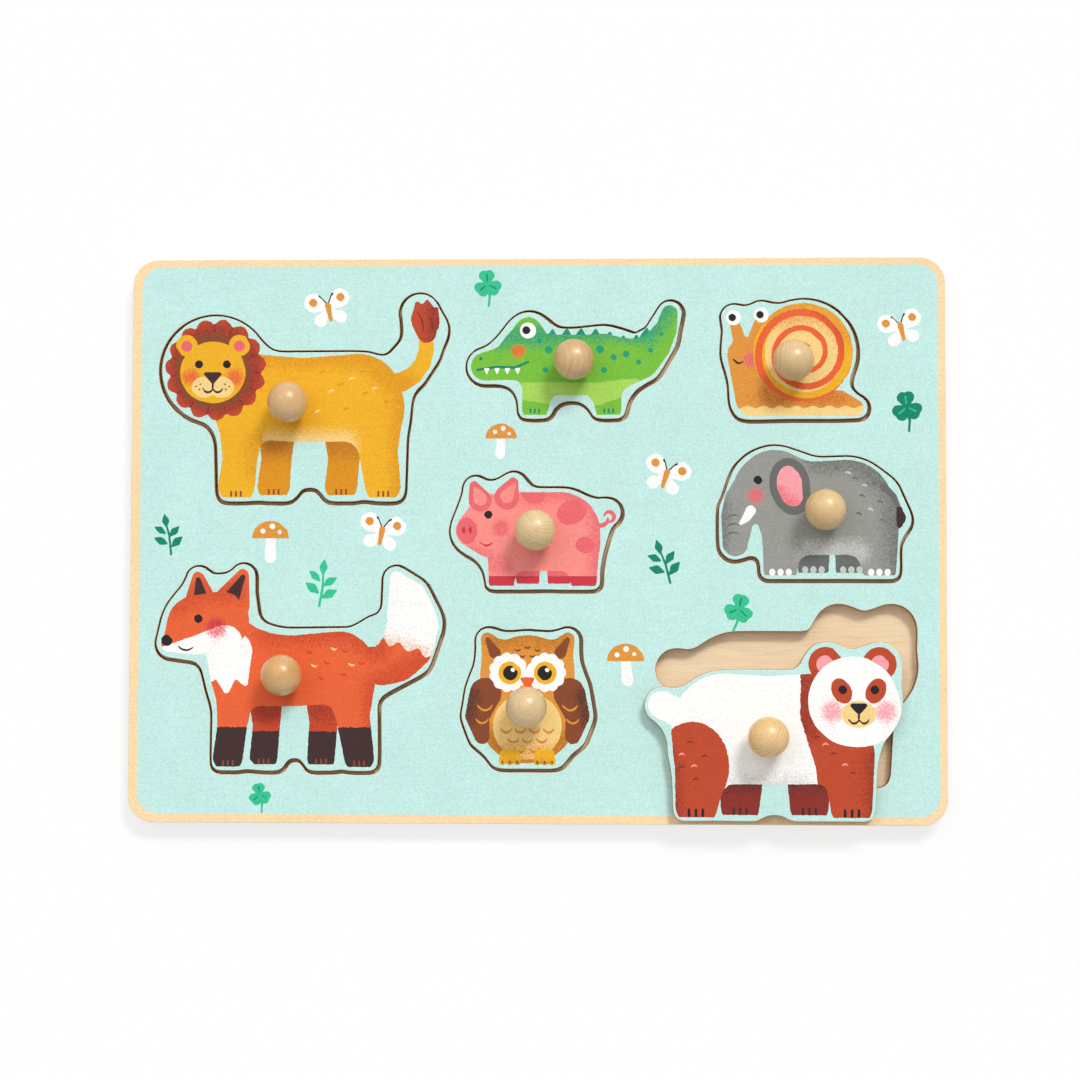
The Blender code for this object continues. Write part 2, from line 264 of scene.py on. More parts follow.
@dataclass(frozen=True)
class Oval(Shape):
    """An ellipse."""

    x: float
    y: float
    half_width: float
    half_height: float
    tilt: float = 0.0

    def distance(self, x: Field, y: Field) -> Field:
        """Distance from the ellipse, true at its rim.

        Args:
            x: Abscissae.
            y: Ordinates.

        Returns:
            The distances, below zero inside.
        """
        turn = radians(self.tilt)
        u = (x - self.x) * cos(turn) + (y - self.y) * sin(turn)
        v = (y - self.y) * cos(turn) - (x - self.x) * sin(turn)
        share = np.hypot(u / self.half_width, v / self.half_height)
        slope = np.hypot(u / self.half_width ** 2, v / self.half_height ** 2)
        return share * (share - 1) / np.maximum(slope, 1e-6)

    def window(self) -> Window:
        """The box round the ellipse at any tilt."""
        reach = max(self.half_width, self.half_height)
        return self.x - reach, self.y - reach, self.x + reach, self.y + reach


@dataclass(frozen=True)
class Scalloped(Shape):
    """A disc whose rim has rounded lobes."""

    x: float
    y: float
    radius: float
    lobes: int
    depth: float
    turn: float = 0.0

    def distance(self, x: Field, y: Field) -> Field:
        """Distance from the lobed rim, close enough near it.

        Args:
            x: Abscissae.
            y: Ordinates.

        Returns:
            The distances, below zero inside.
        """
        bearing = np.arctan2(y - self.y, x - self.x) - radians(self.turn)
        rim = self.radius - self.depth * (1 - np.abs(np.cos(bearing * self.lobes / 2)) ** 0.8)
        return (np.hypot(x - self.x, y - self.y) - rim) * 0.8

    def window(self) -> Window:
        """The box round the whole disc."""
        return self.x - self.radius, self.y - self.radius, self.x + self.radius, self.y + self.radius


@dataclass(frozen=True)
class Band(Shape):
    """All between two lines, which may wave and slope."""

    low: float
    high: float
    wave: float = 0.0
    wave_length: float = 10.0
    slope: float = 0.0

    def distance(self, x: Field, y: Field) -> Field:
        """Distance from the nearer of the two lines.

        Args:
            x: Abscissae.
            y: Ordinates.

        Returns:
            The distances, below zero inside.
        """
        turn = radians(self.slope)
        along = x * cos(turn) + y * sin(turn)
        up = y * cos(turn) - x * sin(turn)
        up = up - self.wave * np.sin(2 * pi * along / self.wave_length)
        return np.maximum(self.low - up, up - self.high)


@dataclass(frozen=True)
class Polygon(Shape):
    """Straight sides with rounded corners."""

    corners: tuple[Place, ...]
    rounding: float = 0.0

    def distance(self, x: Field, y: Field) -> Field:
        """Distance from the nearest side.

        Args:
            x: Abscissae.
            y: Ordinates.

        Returns:
            The distances, below zero inside.
        """
        nearest = np.full(np.shape(x), np.inf)
        inside = np.zeros(np.shape(x), bool)
        for (from_x, from_y), (to_x, to_y) in zip(self.corners, self.corners[1:] + self.corners[:1]):
            side_x, side_y = to_x - from_x, to_y - from_y
            share = ((x - from_x) * side_x + (y - from_y) * side_y) / (side_x ** 2 + side_y ** 2)
            share = np.clip(share, 0, 1)
            foot_x, foot_y = from_x + share * side_x, from_y + share * side_y
            nearest = np.minimum(nearest, np.hypot(x - foot_x, y - foot_y))
            if side_y:
                crosses = (from_y > y) != (to_y > y)
                inside ^= crosses & (x < from_x + (y - from_y) * side_x / side_y)
        return np.where(inside, -nearest, nearest) - self.rounding

    def window(self) -> Window:
        """The box round the rounded corners."""
        x, y = np.array(self.corners).T
        return widened((min(x), min(y), max(x), max(y)), self.rounding)


@dataclass(frozen=True)
class Either(Shape):
    """All that lies in any of several forms."""

    parts: tuple[Shape, ...]

    def distance(self, x: Field, y: Field) -> Field:
        """Least of the parts' distances."""
        return np.minimum.reduce([part.distance(x, y) for part in self.parts])

    def window(self) -> Window:
        """The box round all parts."""
        return joint_window([part.window() for part in self.parts])


@dataclass(frozen=True)
class Both(Shape):
    """Only what lies in both of two forms."""

    first: Shape
    second: Shape

    def distance(self, x: Field, y: Field) -> Field:
        """Greater of the two distances."""
        return np.maximum(self.first.distance(x, y), self.second.distance(x, y))

    def window(self) -> Window:
        """The box that both windows share."""
        boxes = np.array([self.first.window(), self.second.window()])
        return (*boxes[:, :2].max(axis=0), *boxes[:, 2:].min(axis=0))


@dataclass(frozen=True)
class Brushed(Shape):
    """A form whose rim is left ragged by a half-dry brush."""

    clean: Shape
    depth: float
    pitch: float

    def distance(self, x: Field, y: Field) -> Field:
        """The clean distance, roughened by two sizes of bristle."""
        rough = 0.65 * lattice_noise(x, y, self.pitch) + 0.35 * lattice_noise(x, y, self.pitch / 2.3)
        return self.clean.distance(x, y) + self.depth * rough

    def window(self) -> Window:
        """The clean window with room for the bristles."""
        return widened(self.clean.window(), self.depth)


@dataclass(frozen=True)
class Grown(Shape):
    """A form made larger all round, with corners rounded by as much."""

    inner: Shape
    margin: float

    def distance(self, x: Field, y: Field) -> Field:
        """The inner distance, less the margin."""
        return self.inner.distance(x, y) - self.margin

    def window(self) -> Window:
        """The inner window with room for the margin."""
        return widened(self.inner.window(), self.margin)


@dataclass(frozen=True)
class RoundedPanel(Shape):
    """A rectangle with round corners, whose outline is worked out and not traced."""

    x: float
    y: float
    half_width: float
    half_height: float
    corner: float
    corner_steps: int = 14

    def rims(self) -> list[Loop]:
        """Its one outline, counter-clockwise.

        Returns:
            The outline, in a list.
        """
        points = []
        for quarter, (side_x, side_y) in enumerate(((1, 1), (-1, 1), (-1, -1), (1, -1))):
            for step in range(self.corner_steps + 1):
                bearing = (quarter + step / self.corner_steps) * pi / 2
                points.append((
                    self.x + side_x * (self.half_width - self.corner) + self.corner * cos(bearing),
                    self.y + side_y * (self.half_height - self.corner) + self.corner * sin(bearing),
                ))
        return [np.array(points)]


def joint_window(windows: Sequence[Window]) -> Window:
    """The box round several boxes."""
    low_x, low_y, high_x, high_y = zip(*windows)
    return min(low_x), min(low_y), max(high_x), max(high_y)


def widened(window: Window, margin: float) -> Window:
    """A box with the same margin added on each side."""
    return window[0] - margin, window[1] - margin, window[2] + margin, window[3] + margin


def stroke(*discs: Disc) -> Stroke:
    """A stroke through these discs."""
    return Stroke(tuple(discs))


def dot(x: float, y: float, radius: float) -> Stroke:
    """A single disc."""
    return Stroke(((x, y, radius),))


def blend(*parts: Shape, softness: float = 2.5) -> Blend:
    """These forms, run into each other."""
    return Blend(tuple(parts), softness)


def standing(sole: float, softness: float, *parts: Shape, margin: float = 1.2, depth: float = 0.16) -> Shape:
    """Forms run into each other, cut level at the soles of the feet, widened and brushed."""
    return Grown(Both(blend(*parts, softness=softness), Band(sole, 80)), margin).brushed(depth)


def arc(x: float, y: float, radius: float, start: float, end: float, width: float) -> Stroke:
    """A curved pen line that thins towards both ends.

    Args:
        x: Centre's abscissa.
        y: Centre's ordinate.
        radius: Radius of the curve.
        start: Bearing of its start in degrees.
        end: Bearing of its end in degrees.
        width: Width at its middle.

    Returns:
        The line as a stroke.
    """
    steps = 9
    discs = []
    for step in range(steps + 1):
        share = step / steps
        bearing = radians(start + (end - start) * share)
        half_width = width / 2 * (0.45 + 0.55 * sin(pi * share))
        discs.append((x + radius * cos(bearing), y + radius * sin(bearing), half_width))
    return Stroke(tuple(discs))


def muzzle(x: float, y: float, width: float) -> tuple[Shape, ...]:
    """The short line below a nose and the two curves of the mouth."""
    return (stroke((x, y, 0.4), (x, y - 2, 0.38)), arc(x - width, y - 1.9, width + 0.1, 190, 350, 0.85),
            arc(x + width, y - 1.9, width + 0.1, 190, 350, 0.85))


def spiral(x: float, y: float, radii: Place, turns: float, start: float, widths: Place) -> Stroke:
    """A pen line that winds outwards.

    Args:
        x: Centre's abscissa.
        y: Centre's ordinate.
        radii: First and last radius.
        turns: Number of turns.
        start: Bearing of its start in degrees.
        widths: First and last width.

    Returns:
        The line as a stroke.
    """
    steps = round(36 * turns)
    discs = []
    for step in range(steps + 1):
        share = step / steps
        bearing = radians(start) + 2 * pi * turns * share
        radius = radii[0] + (radii[1] - radii[0]) * share
        half_width = (widths[0] + (widths[1] - widths[0]) * share) / 2
        discs.append((x + radius * cos(bearing), y + radius * sin(bearing), half_width))
    return Stroke(tuple(discs))


def thinned(loop: Loop, tolerance: float, step: float) -> Loop:
    """Drop points that lie almost on the line between their neighbours.

    Which points may go is told by where they lie, so rims that share a line keep the same points on it.

    Args:
        loop: The outline.
        tolerance: How far a dropped point may lie from the line.
        step: Usual distance between two points.

    Returns:
        The outline with fewer points.
    """
    for level in range(4):
        before, after = np.roll(loop, 1, axis=0), np.roll(loop, -1, axis=0)
        chord = after - before
        length = np.maximum(np.hypot(chord[:, 0], chord[:, 1]), 1e-9)
        lead = loop - before
        gap = np.abs(chord[:, 0] * lead[:, 1] - chord[:, 1] * lead[:, 0]) / length
        turn_taken = np.floor(loop / (step * 2 ** level)).sum(axis=1) % 2 == 0
        kept = loop[~(turn_taken & (gap < tolerance))]
        if len(kept) < 8:
            break
        loop = kept
    return loop


CELL_EDGES = {
    1: (("low", "left"),), 2: (("right", "low"),), 3: (("right", "left"),), 4: (("high", "right"),),
    5: (("low", "left"), ("high", "right")), 6: (("high", "low"),), 7: (("high", "left"),),
    8: (("left", "high"),), 9: (("low", "high"),), 10: (("right", "low"), ("left", "high")),
    11: (("right", "high"),), 12: (("left", "right"),), 13: (("low", "right"),), 14: (("left", "low"),),
}


def traced(shape: Shape) -> list[Loop]:
    """Find a form's rims by marching over a grid, with the inside on the left.

    Args:
        shape: The form.

    Returns:
        Its closed outlines.
    """
    window = widened(shape.window(), 2 * TRACE_STEP)
    first_x, first_y = floor(window[0] / TRACE_STEP), floor(window[1] / TRACE_STEP)
    x = np.arange(first_x, ceil(window[2] / TRACE_STEP) + 1) * TRACE_STEP
    y = np.arange(first_y, ceil(window[3] / TRACE_STEP) + 1) * TRACE_STEP
    grid_x, grid_y = np.meshgrid(x, y, indexing="ij")
    value = shape.distance(grid_x, grid_y)
    value[value == 0] = 1e-9
    inside = value < 0
    rows = len(y)

    case = inside[:-1, :-1] + 2 * inside[1:, :-1] + 4 * inside[1:, 1:] + 8 * inside[:-1, 1:]
    following: dict[int, int] = {}
    for kind, runs in CELL_EDGES.items():
        cell_x, cell_y = np.nonzero(case == kind)
        corner = cell_x * rows + cell_y
        edge = {"low": 2 * corner, "high": 2 * (corner + 1), "left": 2 * corner + 1,
                "right": 2 * (corner + rows) + 1}
        for start, end in runs:
            following.update(zip(edge[start].tolist(), edge[end].tolist()))

    def crossing(edge: int) -> Place:
        """Where the rim cuts one grid edge.

        Args:
            edge: Number of the edge.

        Returns:
            The point.
        """
        corner, upright = divmod(edge, 2)
        at_x, at_y = divmod(corner, rows)
        other_x, other_y = (at_x, at_y + 1) if upright else (at_x + 1, at_y)
        share = value[at_x, at_y] / (value[at_x, at_y] - value[other_x, other_y])
        return (x[at_x] + share * (other_x - at_x) * TRACE_STEP,
                y[at_y] + share * (other_y - at_y) * TRACE_STEP)

    loops = []
    while following:
        edge = next(iter(following))
        points = []
        while edge in following:
            points.append(crossing(edge))
            edge = following.pop(edge)
        if len(points) > 5:
            loops.append(thinned(np.array(points), TRACE_TOLERANCE, TRACE_STEP))
    return loops


def enclosed(loops: Sequence[Loop], points: np.ndarray) -> np.ndarray:
    """Tell which points lie inside an odd number of outlines.

    Args:
        loops: Closed outlines.
        points: Points to tell, one to a row.

    Returns:
        True for each point inside.
    """
    inside = np.zeros(len(points), bool)
    for loop in loops:
        low, high = loop.min(axis=0), loop.max(axis=0)
        near = np.flatnonzero(((points >= low) & (points <= high)).all(axis=1))
        after = np.roll(loop, -1, axis=0)
        run, rise = (after - loop).T
        rise = np.where(rise == 0, 1e-12, rise)
        for part in np.array_split(near, max(1, len(near) * len(loop) // TESTS_AT_ONCE)):
            x, y = points[part, 0][:, None], points[part, 1][:, None]
            crosses = (loop[:, 1] > y) != (after[:, 1] > y)
            hits = crosses & (x < loop[:, 0] + (y - loop[:, 1]) * run / rise)
            inside[part] ^= hits.sum(axis=1) % 2 == 1
    return inside


@dataclass(frozen=True)
class Stipple:
    """Fine dots of a second ink, thick at a form's core and thinning out away from it."""

    ink: Ink
    core: Shape
    reach: float
    density: float
    over: tuple[Ink, ...]

    def thickness(self, x: Field, y: Field) -> Field:
        """Share of the surface that the dots cover at each point."""
        share = np.clip(1 - self.core.distance(x, y) / self.reach, 0, 1)
        return self.density * share * share * (3 - 2 * share)

    def seeds(self) -> np.ndarray:
        """Points at which the thickness is stored, close enough to follow it.

        Returns:
            The points, one to a row.
        """
        pitch = self.reach / 4
        low_x, low_y, high_x, high_y = widened(self.core.window(), self.reach)
        x, y = np.meshgrid(np.arange(low_x, high_x, pitch), np.arange(low_y, high_y, pitch))
        near = self.core.distance(x, y)
        kept = (near < self.reach) & (near > -2 * pitch)
        return np.stack([x[kept], y[kept]], axis=1)


@dataclass
class Picture:
    """Layers of ink over a ground, then stipple over the ink. Its origin is the knob."""

    ground: Ink = MINT
    layers: list[tuple[Ink, Shape]] = field(default_factory=list)
    stipples: list[Stipple] = field(default_factory=list)

    def ink(self, ink: Ink, *shapes: Shape) -> None:
        """Print one layer, over all before it."""
        self.layers.extend((ink, shape) for shape in shapes)

    def shade(self, ink: Ink, core: Shape, reach: float, density: float, *over: Ink) -> None:
        """Stipple one ink over some of the others."""
        self.stipples.append(Stipple(ink, core, reach, density, over))

    def fade(self, ink: Ink, places: Sequence[Place], reach: float, density: float, *over: Ink) -> None:
        """Stipple one ink over some of the others, from an even line two millimetres wide."""
        self.shade(ink, Stroke(tuple((x, y, 1.0) for x, y in places)), reach, density, *over)

    def blush(self, ink: Ink, radius: float, over: Ink, *cheeks: Place) -> None:
        """Stipple soft round cheeks."""
        for x, y in cheeks:
            self.shade(ink, dot(x, y, radius * 0.45), radius * 0.75, 0.85, over)

    def eyes(self, radius: float, *places: Place) -> None:
        """Print plain dark eyes."""
        self.ink(BLACK, *(dot(x, y, radius) for x, y in places))

    def toes(self, ink: Ink, feet: Sequence[float], level: float, spread: float = 1.8,
             length: float = 1.6, width: float = 0.7) -> None:
        """Print three short upright lines on each foot.

        Args:
            ink: Ink of the lines.
            feet: Middle of each foot.
            level: Upper end of the lines.
            spread: Distance between two lines.
            length: Their length.
            width: Their width.
        """
        for foot in feet:
            for step in (-1, 0, 1):
                at = foot + step * spread
                self.ink(ink, stroke((at, level, width / 2), (at, level - length, width / 2)))

    def tufts(self, ink: Ink, coat: Shape, places: Sequence[Place], turn: float, size: float = 1.3) -> None:
        """Print small curved tufts of hair, no further than the coat."""
        for x, y in places:
            self.ink(ink, Both(coat, arc(x, y, size, turn, turn + 110, 0.75)))


def lion(art: Picture) -> None:
    """Draw a golden lion with a rust mane.

    Args:
        art: The piece's own picture.
    """
    near = standing(
        -33.3, 4, stroke((-14, 3, 14.6), (4, 1.6, 14.4), (25, 2.6, 15)),
        stroke((-18, -6, 7.4), (-18.6, -20, 5.2), (-19.8, -30, 5.6)),
        stroke((31, -3, 9.6), (32.6, -17, 6), (34.4, -30, 5.4)),
    )
    far = standing(
        -32.6, 3, stroke((-5, -8, 6), (-5, -20, 4.6), (-6, -30, 5)),
        stroke((20, -6, 7.4), (20, -20, 4.8), (19, -30, 5)), margin=1,
    )
    tail = stroke((35, 7.4, 4.2), (41, 8.2, 3.6), (45.6, 10.8, 3.3), (48.8, 15, 3), (50.2, 20, 2.8),
                  (50.2, 28, 2.6))
    art.ink(AMBER, far)
    art.ink(GOLD, tail.brushed(0.12))
    art.ink(CHESTNUT, blend(
        stroke((50.2, 26.4, 3.6), (49.6, 31.4, 5)), stroke((48.6, 32, 3.6), (46.8, 37.2, 1)),
        stroke((50, 32, 4), (50.6, 37.8, 1.1)), stroke((51.6, 30, 3.4), (53.8, 35.4, 0.8)), softness=1,
    ).brushed(0.2))
    art.ink(MAROON, arc(38.6, 28, 10.4, -6, 38, 0.8), arc(42.4, 28, 10.2, -8, 30, 0.8))
    art.ink(GOLD, near)
    art.tufts(AMBER, near, [(12, 11), (19, 6.4), (27, 11), (34, 8), (28, 3), (36, 0), (21, -2.6)], 60)
    art.tufts(SAND, near, [(15.6, 4), (23, 8.6), (31.6, 5), (10.4, -3.6)], 60)
    art.ink(CHESTNUT, Scalloped(-28, 13, 18.9, 15, 2.4, 8).brushed(0.2))
    for step in range(15):
        way = radians(20 + 24 * step)
        reach_x, reach_y = cos(way), sin(way)
        art.ink(MAROON, stroke((-28 + 13 * reach_x, 13 + 13 * reach_y, 0.5),
                               (-28 + 17 * reach_x, 13 + 17 * reach_y, 0.22)))
    art.ink(BROWN, Scalloped(-28.6, 12.6, 14.6, 13, 1.6).brushed(0.25))
    for side in (-1, 1):
        art.ink(GOLD, dot(-29 + side * 9.8, 22, 4))
        art.ink(ROSE, dot(-29 + side * 9.8, 21.8, 2.1))
    art.ink(GOLD, Oval(-29, 12, 12.2, 11.5))
    art.ink(SAND, Either((Oval(-32.3, 6.5, 4.6, 3.9), Oval(-25.7, 6.5, 4.6, 3.9))).brushed(0.1))
    art.ink(COCOA, Polygon(((-31.6, 11.4), (-26.4, 11.4), (-29, 8.5)), 0.7))
    art.ink(COCOA, *muzzle(-29, 8.4, 1.8))
    for side in (-1, 1):
        art.ink(BROWN, dot(-29 + side * 4.6, 7.6, 0.36), dot(-29 + side * 6.2, 6.8, 0.36),
                dot(-29 + side * 4.9, 5.7, 0.36))
    art.eyes(1.5, (-34.2, 15), (-23.8, 15))
    art.toes(BROWN, (-20, 34.6), -32.3)
    art.toes(BROWN, (-6, 19), -31.6)
    art.blush(ORANGE, 3.7, GOLD, (-37.2, 10.2), (-20.8, 10.2))
    art.fade(AMBER, [(-8, 18.6), (28, 18.6), (42, 6), (42, -34)], 8, 0.75, GOLD)
    art.shade(AMBER, stroke((-13, -15, 2), (-13, -24, 1)), 6, 0.5, GOLD)
    art.fade(SAND, [(-6, -15), (20, -15)], 7, 0.9, GOLD)
    art.shade(TAN, stroke((-10, -14, 2), (24, -14, 2)), 8, 0.75, AMBER)
    art.shade(MAROON, dot(-28, 13, 15), 4, 0.6, CHESTNUT)
    art.fade(MAROON, [(54, 25), (54, 36)], 5, 0.7, CHESTNUT)


def fox(art: Picture) -> None:
    """Draw an orange fox with white cheek, chest and tail tip, and dark socks.

    Args:
        art: The piece's own picture.
    """
    tail = stroke((26, 6, 5), (36, 3.4, 7), (41.4, 6.2, 8.6), (45.6, 11, 9.3), (47.2, 18.6, 9.5),
                  (45.6, 27.4, 7.4), (41, 36.4, 2)).brushed(0.3, 0.9)
    near = standing(
        -32.3, 3.4, stroke((-14, 2.4, 12.4), (3, 1.6, 11.8), (20, 3, 12)),
        stroke((-22, 14, 8), (-13, 4, 11)),
        stroke((-18, -4, 6.2), (-19, -18, 4.3), (-20.6, -30, 4.3)),
        stroke((24, -1, 8.4), (25.4, -15, 5), (27.8, -30, 4.3)),
    )
    far = standing(
        -31.6, 3, stroke((-7, -6, 5.6), (-6.4, -18, 4), (-7.4, -30, 4.1)),
        stroke((15, -4, 6.6), (14.6, -17, 4.2), (13.8, -30, 4.1)), margin=1,
    )
    head = blend(stroke((-33, 19, 10.3), (-24, 20, 10.8)), stroke((-33, 17, 8.6), (-42.8, 11.6, 2.9)),
                 softness=4).brushed(0.12)
    art.ink(RUST, far)
    art.ink(COCOA, Both(far, Band(-60, -20.5).brushed(0.35)))
    art.ink(ORANGE, tail)
    art.ink(WHITE, Both(tail, Band(23.5, 80, 1.2, 7, -18).brushed(0.35)))
    art.ink(ORANGE, near)
    art.ink(COCOA, Both(near, Band(-60, -19).brushed(0.35)))
    art.ink(WHITE, Both(near, blend(
        stroke((-24, 12, 8), (-27, -1, 1.4)), stroke((-22, 9, 8), (-21.4, -5.4, 1.2)),
        stroke((-19, 9, 7), (-14.6, -2.6, 1.2)), softness=1).brushed(0.2)))
    art.tufts(RUST, near, [(9.5, 9.5), (16, 5.6), (22.5, 10), (14, 0), (22, 1.4), (28.5, 5.5)], 200)
    art.tufts(SAND, near, [(18.4, 10.8), (25, 5), (11.2, 4.6)], 200)
    for base, tip in (((-31, 25, 6.6), (-32.2, 36, 2.2)), ((-20, 26, 7), (-15.6, 37, 2.2))):
        art.ink(ORANGE, stroke(base, tip))
        art.ink(COCOA, stroke((base[0], base[1] + 2, 3), (tip[0], tip[1] - 0.8, 0.9)))
    art.ink(ORANGE, head)
    art.ink(WHITE, Both(head, stroke((-45, 7.6, 2.8), (-33, 10.6, 3.8), (-22, 12, 6.4)).brushed(0.22)))
    art.ink(BLACK, dot(-43.6, 12.8, 2.1))
    art.ink(COCOA, arc(-36.4, 12.8, 3.6, 215, 315, 0.8))
    art.eyes(1.6, (-32, 20.8))
    art.toes(BROWN, (-20.6, 27.8), -31.4)
    art.toes(BROWN, (-7.4, 13.8), -30.8)
    art.blush(CRIMSON, 4.4, ORANGE, (-25.4, 17.4))
    art.blush(ROSE, 4.4, WHITE, (-25.4, 17.4))
    art.fade(RUST, [(-6, 16), (24, 16.5), (34, 10)], 8, 0.75, ORANGE)
    art.fade(RUST, [(34, -5), (56, 8), (56, 26)], 8, 0.75, ORANGE)
    art.fade(RUST, [(33, -6), (34, -22)], 6, 0.7, ORANGE)
    art.fade(RUST, [(-40, 26), (-30, 31), (-18, 31)], 7, 0.6, ORANGE)
    art.fade(MAROON, [(-10, -12), (18, -12)], 7, 0.5, RUST)
    art.fade(OCHRE, [(34, 12.4), (58, 4.6)], 6, 0.4, WHITE)


def crocodile(art: Picture) -> None:
    """Draw a green crocodile with teal scutes and a few small teeth.

    Args:
        art: The piece's own picture.
    """
    body = standing(
        -18.3, 3, stroke((-9, -1, 10), (9, -1, 10)), dot(-18, 4, 8), stroke((-18, 1, 6.2), (-33, -1.5, 4)),
        dot(-17, 11.8, 3.7),
        stroke((12, -1, 9.3), (24, 1, 6.2), (30, 6, 4.2), (33.6, 12, 2.8), (35, 18, 1.8)),
        stroke((-13, -6, 4.9), (-14.5, -17, 3.6)), stroke((11, -6, 4.9), (12.5, -17, 3.6)), depth=0.14,
    )
    for x, y in ((-8.5, 10.2), (-3.2, 10.5), (2.1, 10.6), (7.4, 10.3), (12.6, 9.2), (17.6, 7.8), (22.4, 8),
                 (26.2, 10.6)):
        art.ink(TEAL, Polygon(((x - 2.6, y - 2.6), (x + 2.6, y - 2.8), (x + 0.4, y + 1.6)), 0.5))
    art.ink(LEAF, body)
    art.ink(LIME, Both(body, stroke((-27, -10, 2.4), (-10, -11.4, 4), (8, -11.8, 4.2),
                                    (22, -8.6, 2.6)).brushed(0.25)))
    art.ink(PINE, stroke((-36, -2.8, 0.42), (-29, -1.7, 0.48), (-22, -2, 0.48), (-17, 0.2, 0.38)))
    for x in (-32.4, -28.6, -24.8, -21):
        art.ink(WHITE, Polygon(((x - 0.8, -2.3), (x + 0.8, -2.3), (x, -4.2)), 0.2))
    art.ink(WHITE, dot(-17.2, 11.8, 3))
    art.eyes(1.5, (-17.8, 11.9))
    art.ink(PINE, dot(-34.6, 1.4, 0.65))
    for x, y, radius in ((-9.6, 4.6, 1.4), (-13, 8, 1), (9.4, 4.8, 1.5), (14.4, 1.8, 1.15), (19, 3, 1.25),
                         (10.8, -3, 1.1), (23.6, 0, 0.95), (-10.8, -2.8, 1.05), (28, 4.4, 0.95),
                         (32, 10.4, 0.8)):
        art.ink(TEAL, dot(x, y, radius))
    art.toes(PINE, (-14.6, 12.6), -17.4, 1.6, 1.2)
    art.blush(ORANGE, 3.2, LEAF, (-20.8, 4.4))
    art.fade(TEAL, [(-27, 9), (14, 12), (27, 10), (34, 20)], 6, 0.7, LEAF)
    art.fade(PINE, [(-4, 13), (24, 10)], 3, 0.6, TEAL)


def snail(art: Picture) -> None:
    """Draw a sandy snail with a wound shell.

    Args:
        art: The piece's own picture.
    """
    body = standing(
        -18.3, 3, stroke((-14, -14.6, 3.8), (17, -15, 3.7), (23, -16.5, 1.8)),
        stroke((-14, -12, 5.8), (-17, 3, 5.6)), depth=0.14,
    )
    horns = Either((stroke((-18, 4, 2.8), (-21.5, 16, 1.7)), stroke((-15, 5, 2.8), (-11.5, 17, 1.7))))
    shell = dot(4, 4, 18.2).brushed()
    art.ink(OCHRE, horns, body)
    art.ink(SAND, Both(body, Band(-60, -16.2, 0.5, 6).brushed()))
    art.ink(GOLD, shell)
    art.ink(SAND, dot(4.3, 3.7, 14.4).brushed(0.3, 0.9))
    art.ink(ORANGE, Both(shell, spiral(4.2, 3.6, (3, 20.5), 3, 60, (1.5, 3)).brushed(0.2)))
    for x, y in ((-21.6, 16.8), (-11.4, 17.8)):
        art.ink(WHITE, dot(x, y, 2.8))
        art.eyes(1.4, (x - 0.4, y + 0.1))
    art.ink(COCOA, arc(-19.6, 2.2, 2.2, 195, 320, 0.75))
    art.blush(ROSE, 3.1, OCHRE, (-15.4, 1.2))
    art.fade(OCHRE, [(-6, 18), (10, 21), (21, 12)], 8, 0.7, GOLD, SAND)
    art.fade(RUST, [(14, 20), (22, 8)], 8, 0.6, ORANGE)
    art.fade(CHESTNUT, [(-9, -12), (17, -13)], 4, 0.35, OCHRE)


def pig(art: Picture) -> None:
    """Draw a coral pig with rose spots.

    Args:
        art: The piece's own picture.
    """
    near = standing(
        -18.8, 3, stroke((-5, 0, 13.3), (9, 0, 13.3)), stroke((-12, -8, 4.5), (-12.6, -18, 3.6)),
        stroke((16.5, -6, 5.4), (17.5, -18, 3.6)), depth=0.14,
    )
    far = standing(-18.2, 3, stroke((-3.5, -8, 4.2), (-3, -18, 3.2)), stroke((9, -8, 4.2), (8.5, -18, 3.2)),
                   margin=1, depth=0.14)
    art.ink(ROSE, far)
    art.ink(ROSE, arc(23.8, 4.8, 2.6, 195, 360, 1.7), arc(26.8, 5.4, 1.9, 170, -110, 1.5))
    art.ink(CORAL, near)
    for spot in (Oval(13, 7, 5.6, 4.4, 20), Oval(18, -5, 3.5, 3), Oval(-1, 13.2, 4.4, 3, -10)):
        art.ink(ROSE, Both(near, spot.brushed()))
    for legs in (near, far):
        art.ink(CRIMSON, Both(legs, Band(-60, -16.4).brushed()))
    art.ink(CORAL, blend(dot(-15, 2, 11.9), stroke((-18, 1, 8), (-24, 0.2, 5.6)), softness=3).brushed(0.1))
    for base, tip in (((-20.6, 11.6, 4.3), (-22.8, 16.8, 1.8)), ((-10.8, 12.6, 4.6), (-8.4, 18.2, 1.8))):
        art.ink(ROSE, stroke(base, tip))
        art.ink(CORAL, stroke((base[0], base[1] + 0.4, 2.5), (tip[0] * 0.98, tip[1] - 1.2, 0.8)))
    art.ink(ROSE, Oval(-25.4, 0.3, 3.8, 4.9))
    art.ink(CRIMSON, Oval(-26.6, 0.5, 0.65, 1.25), Oval(-24.2, 0.5, 0.65, 1.25))
    art.eyes(1.5, (-17.6, 6.2))
    art.ink(CRIMSON, arc(-18.4, -2.2, 3, 215, 325, 0.8))
    art.blush(ROSE, 3.6, CORAL, (-13, 1.2))
    art.fade(ROSE, [(-2, 15), (12, 15.5), (24, 8), (24, -14)], 7, 0.8, CORAL)
    art.fade(ROSE, [(-25, -8), (-12, -13)], 5, 0.6, CORAL)


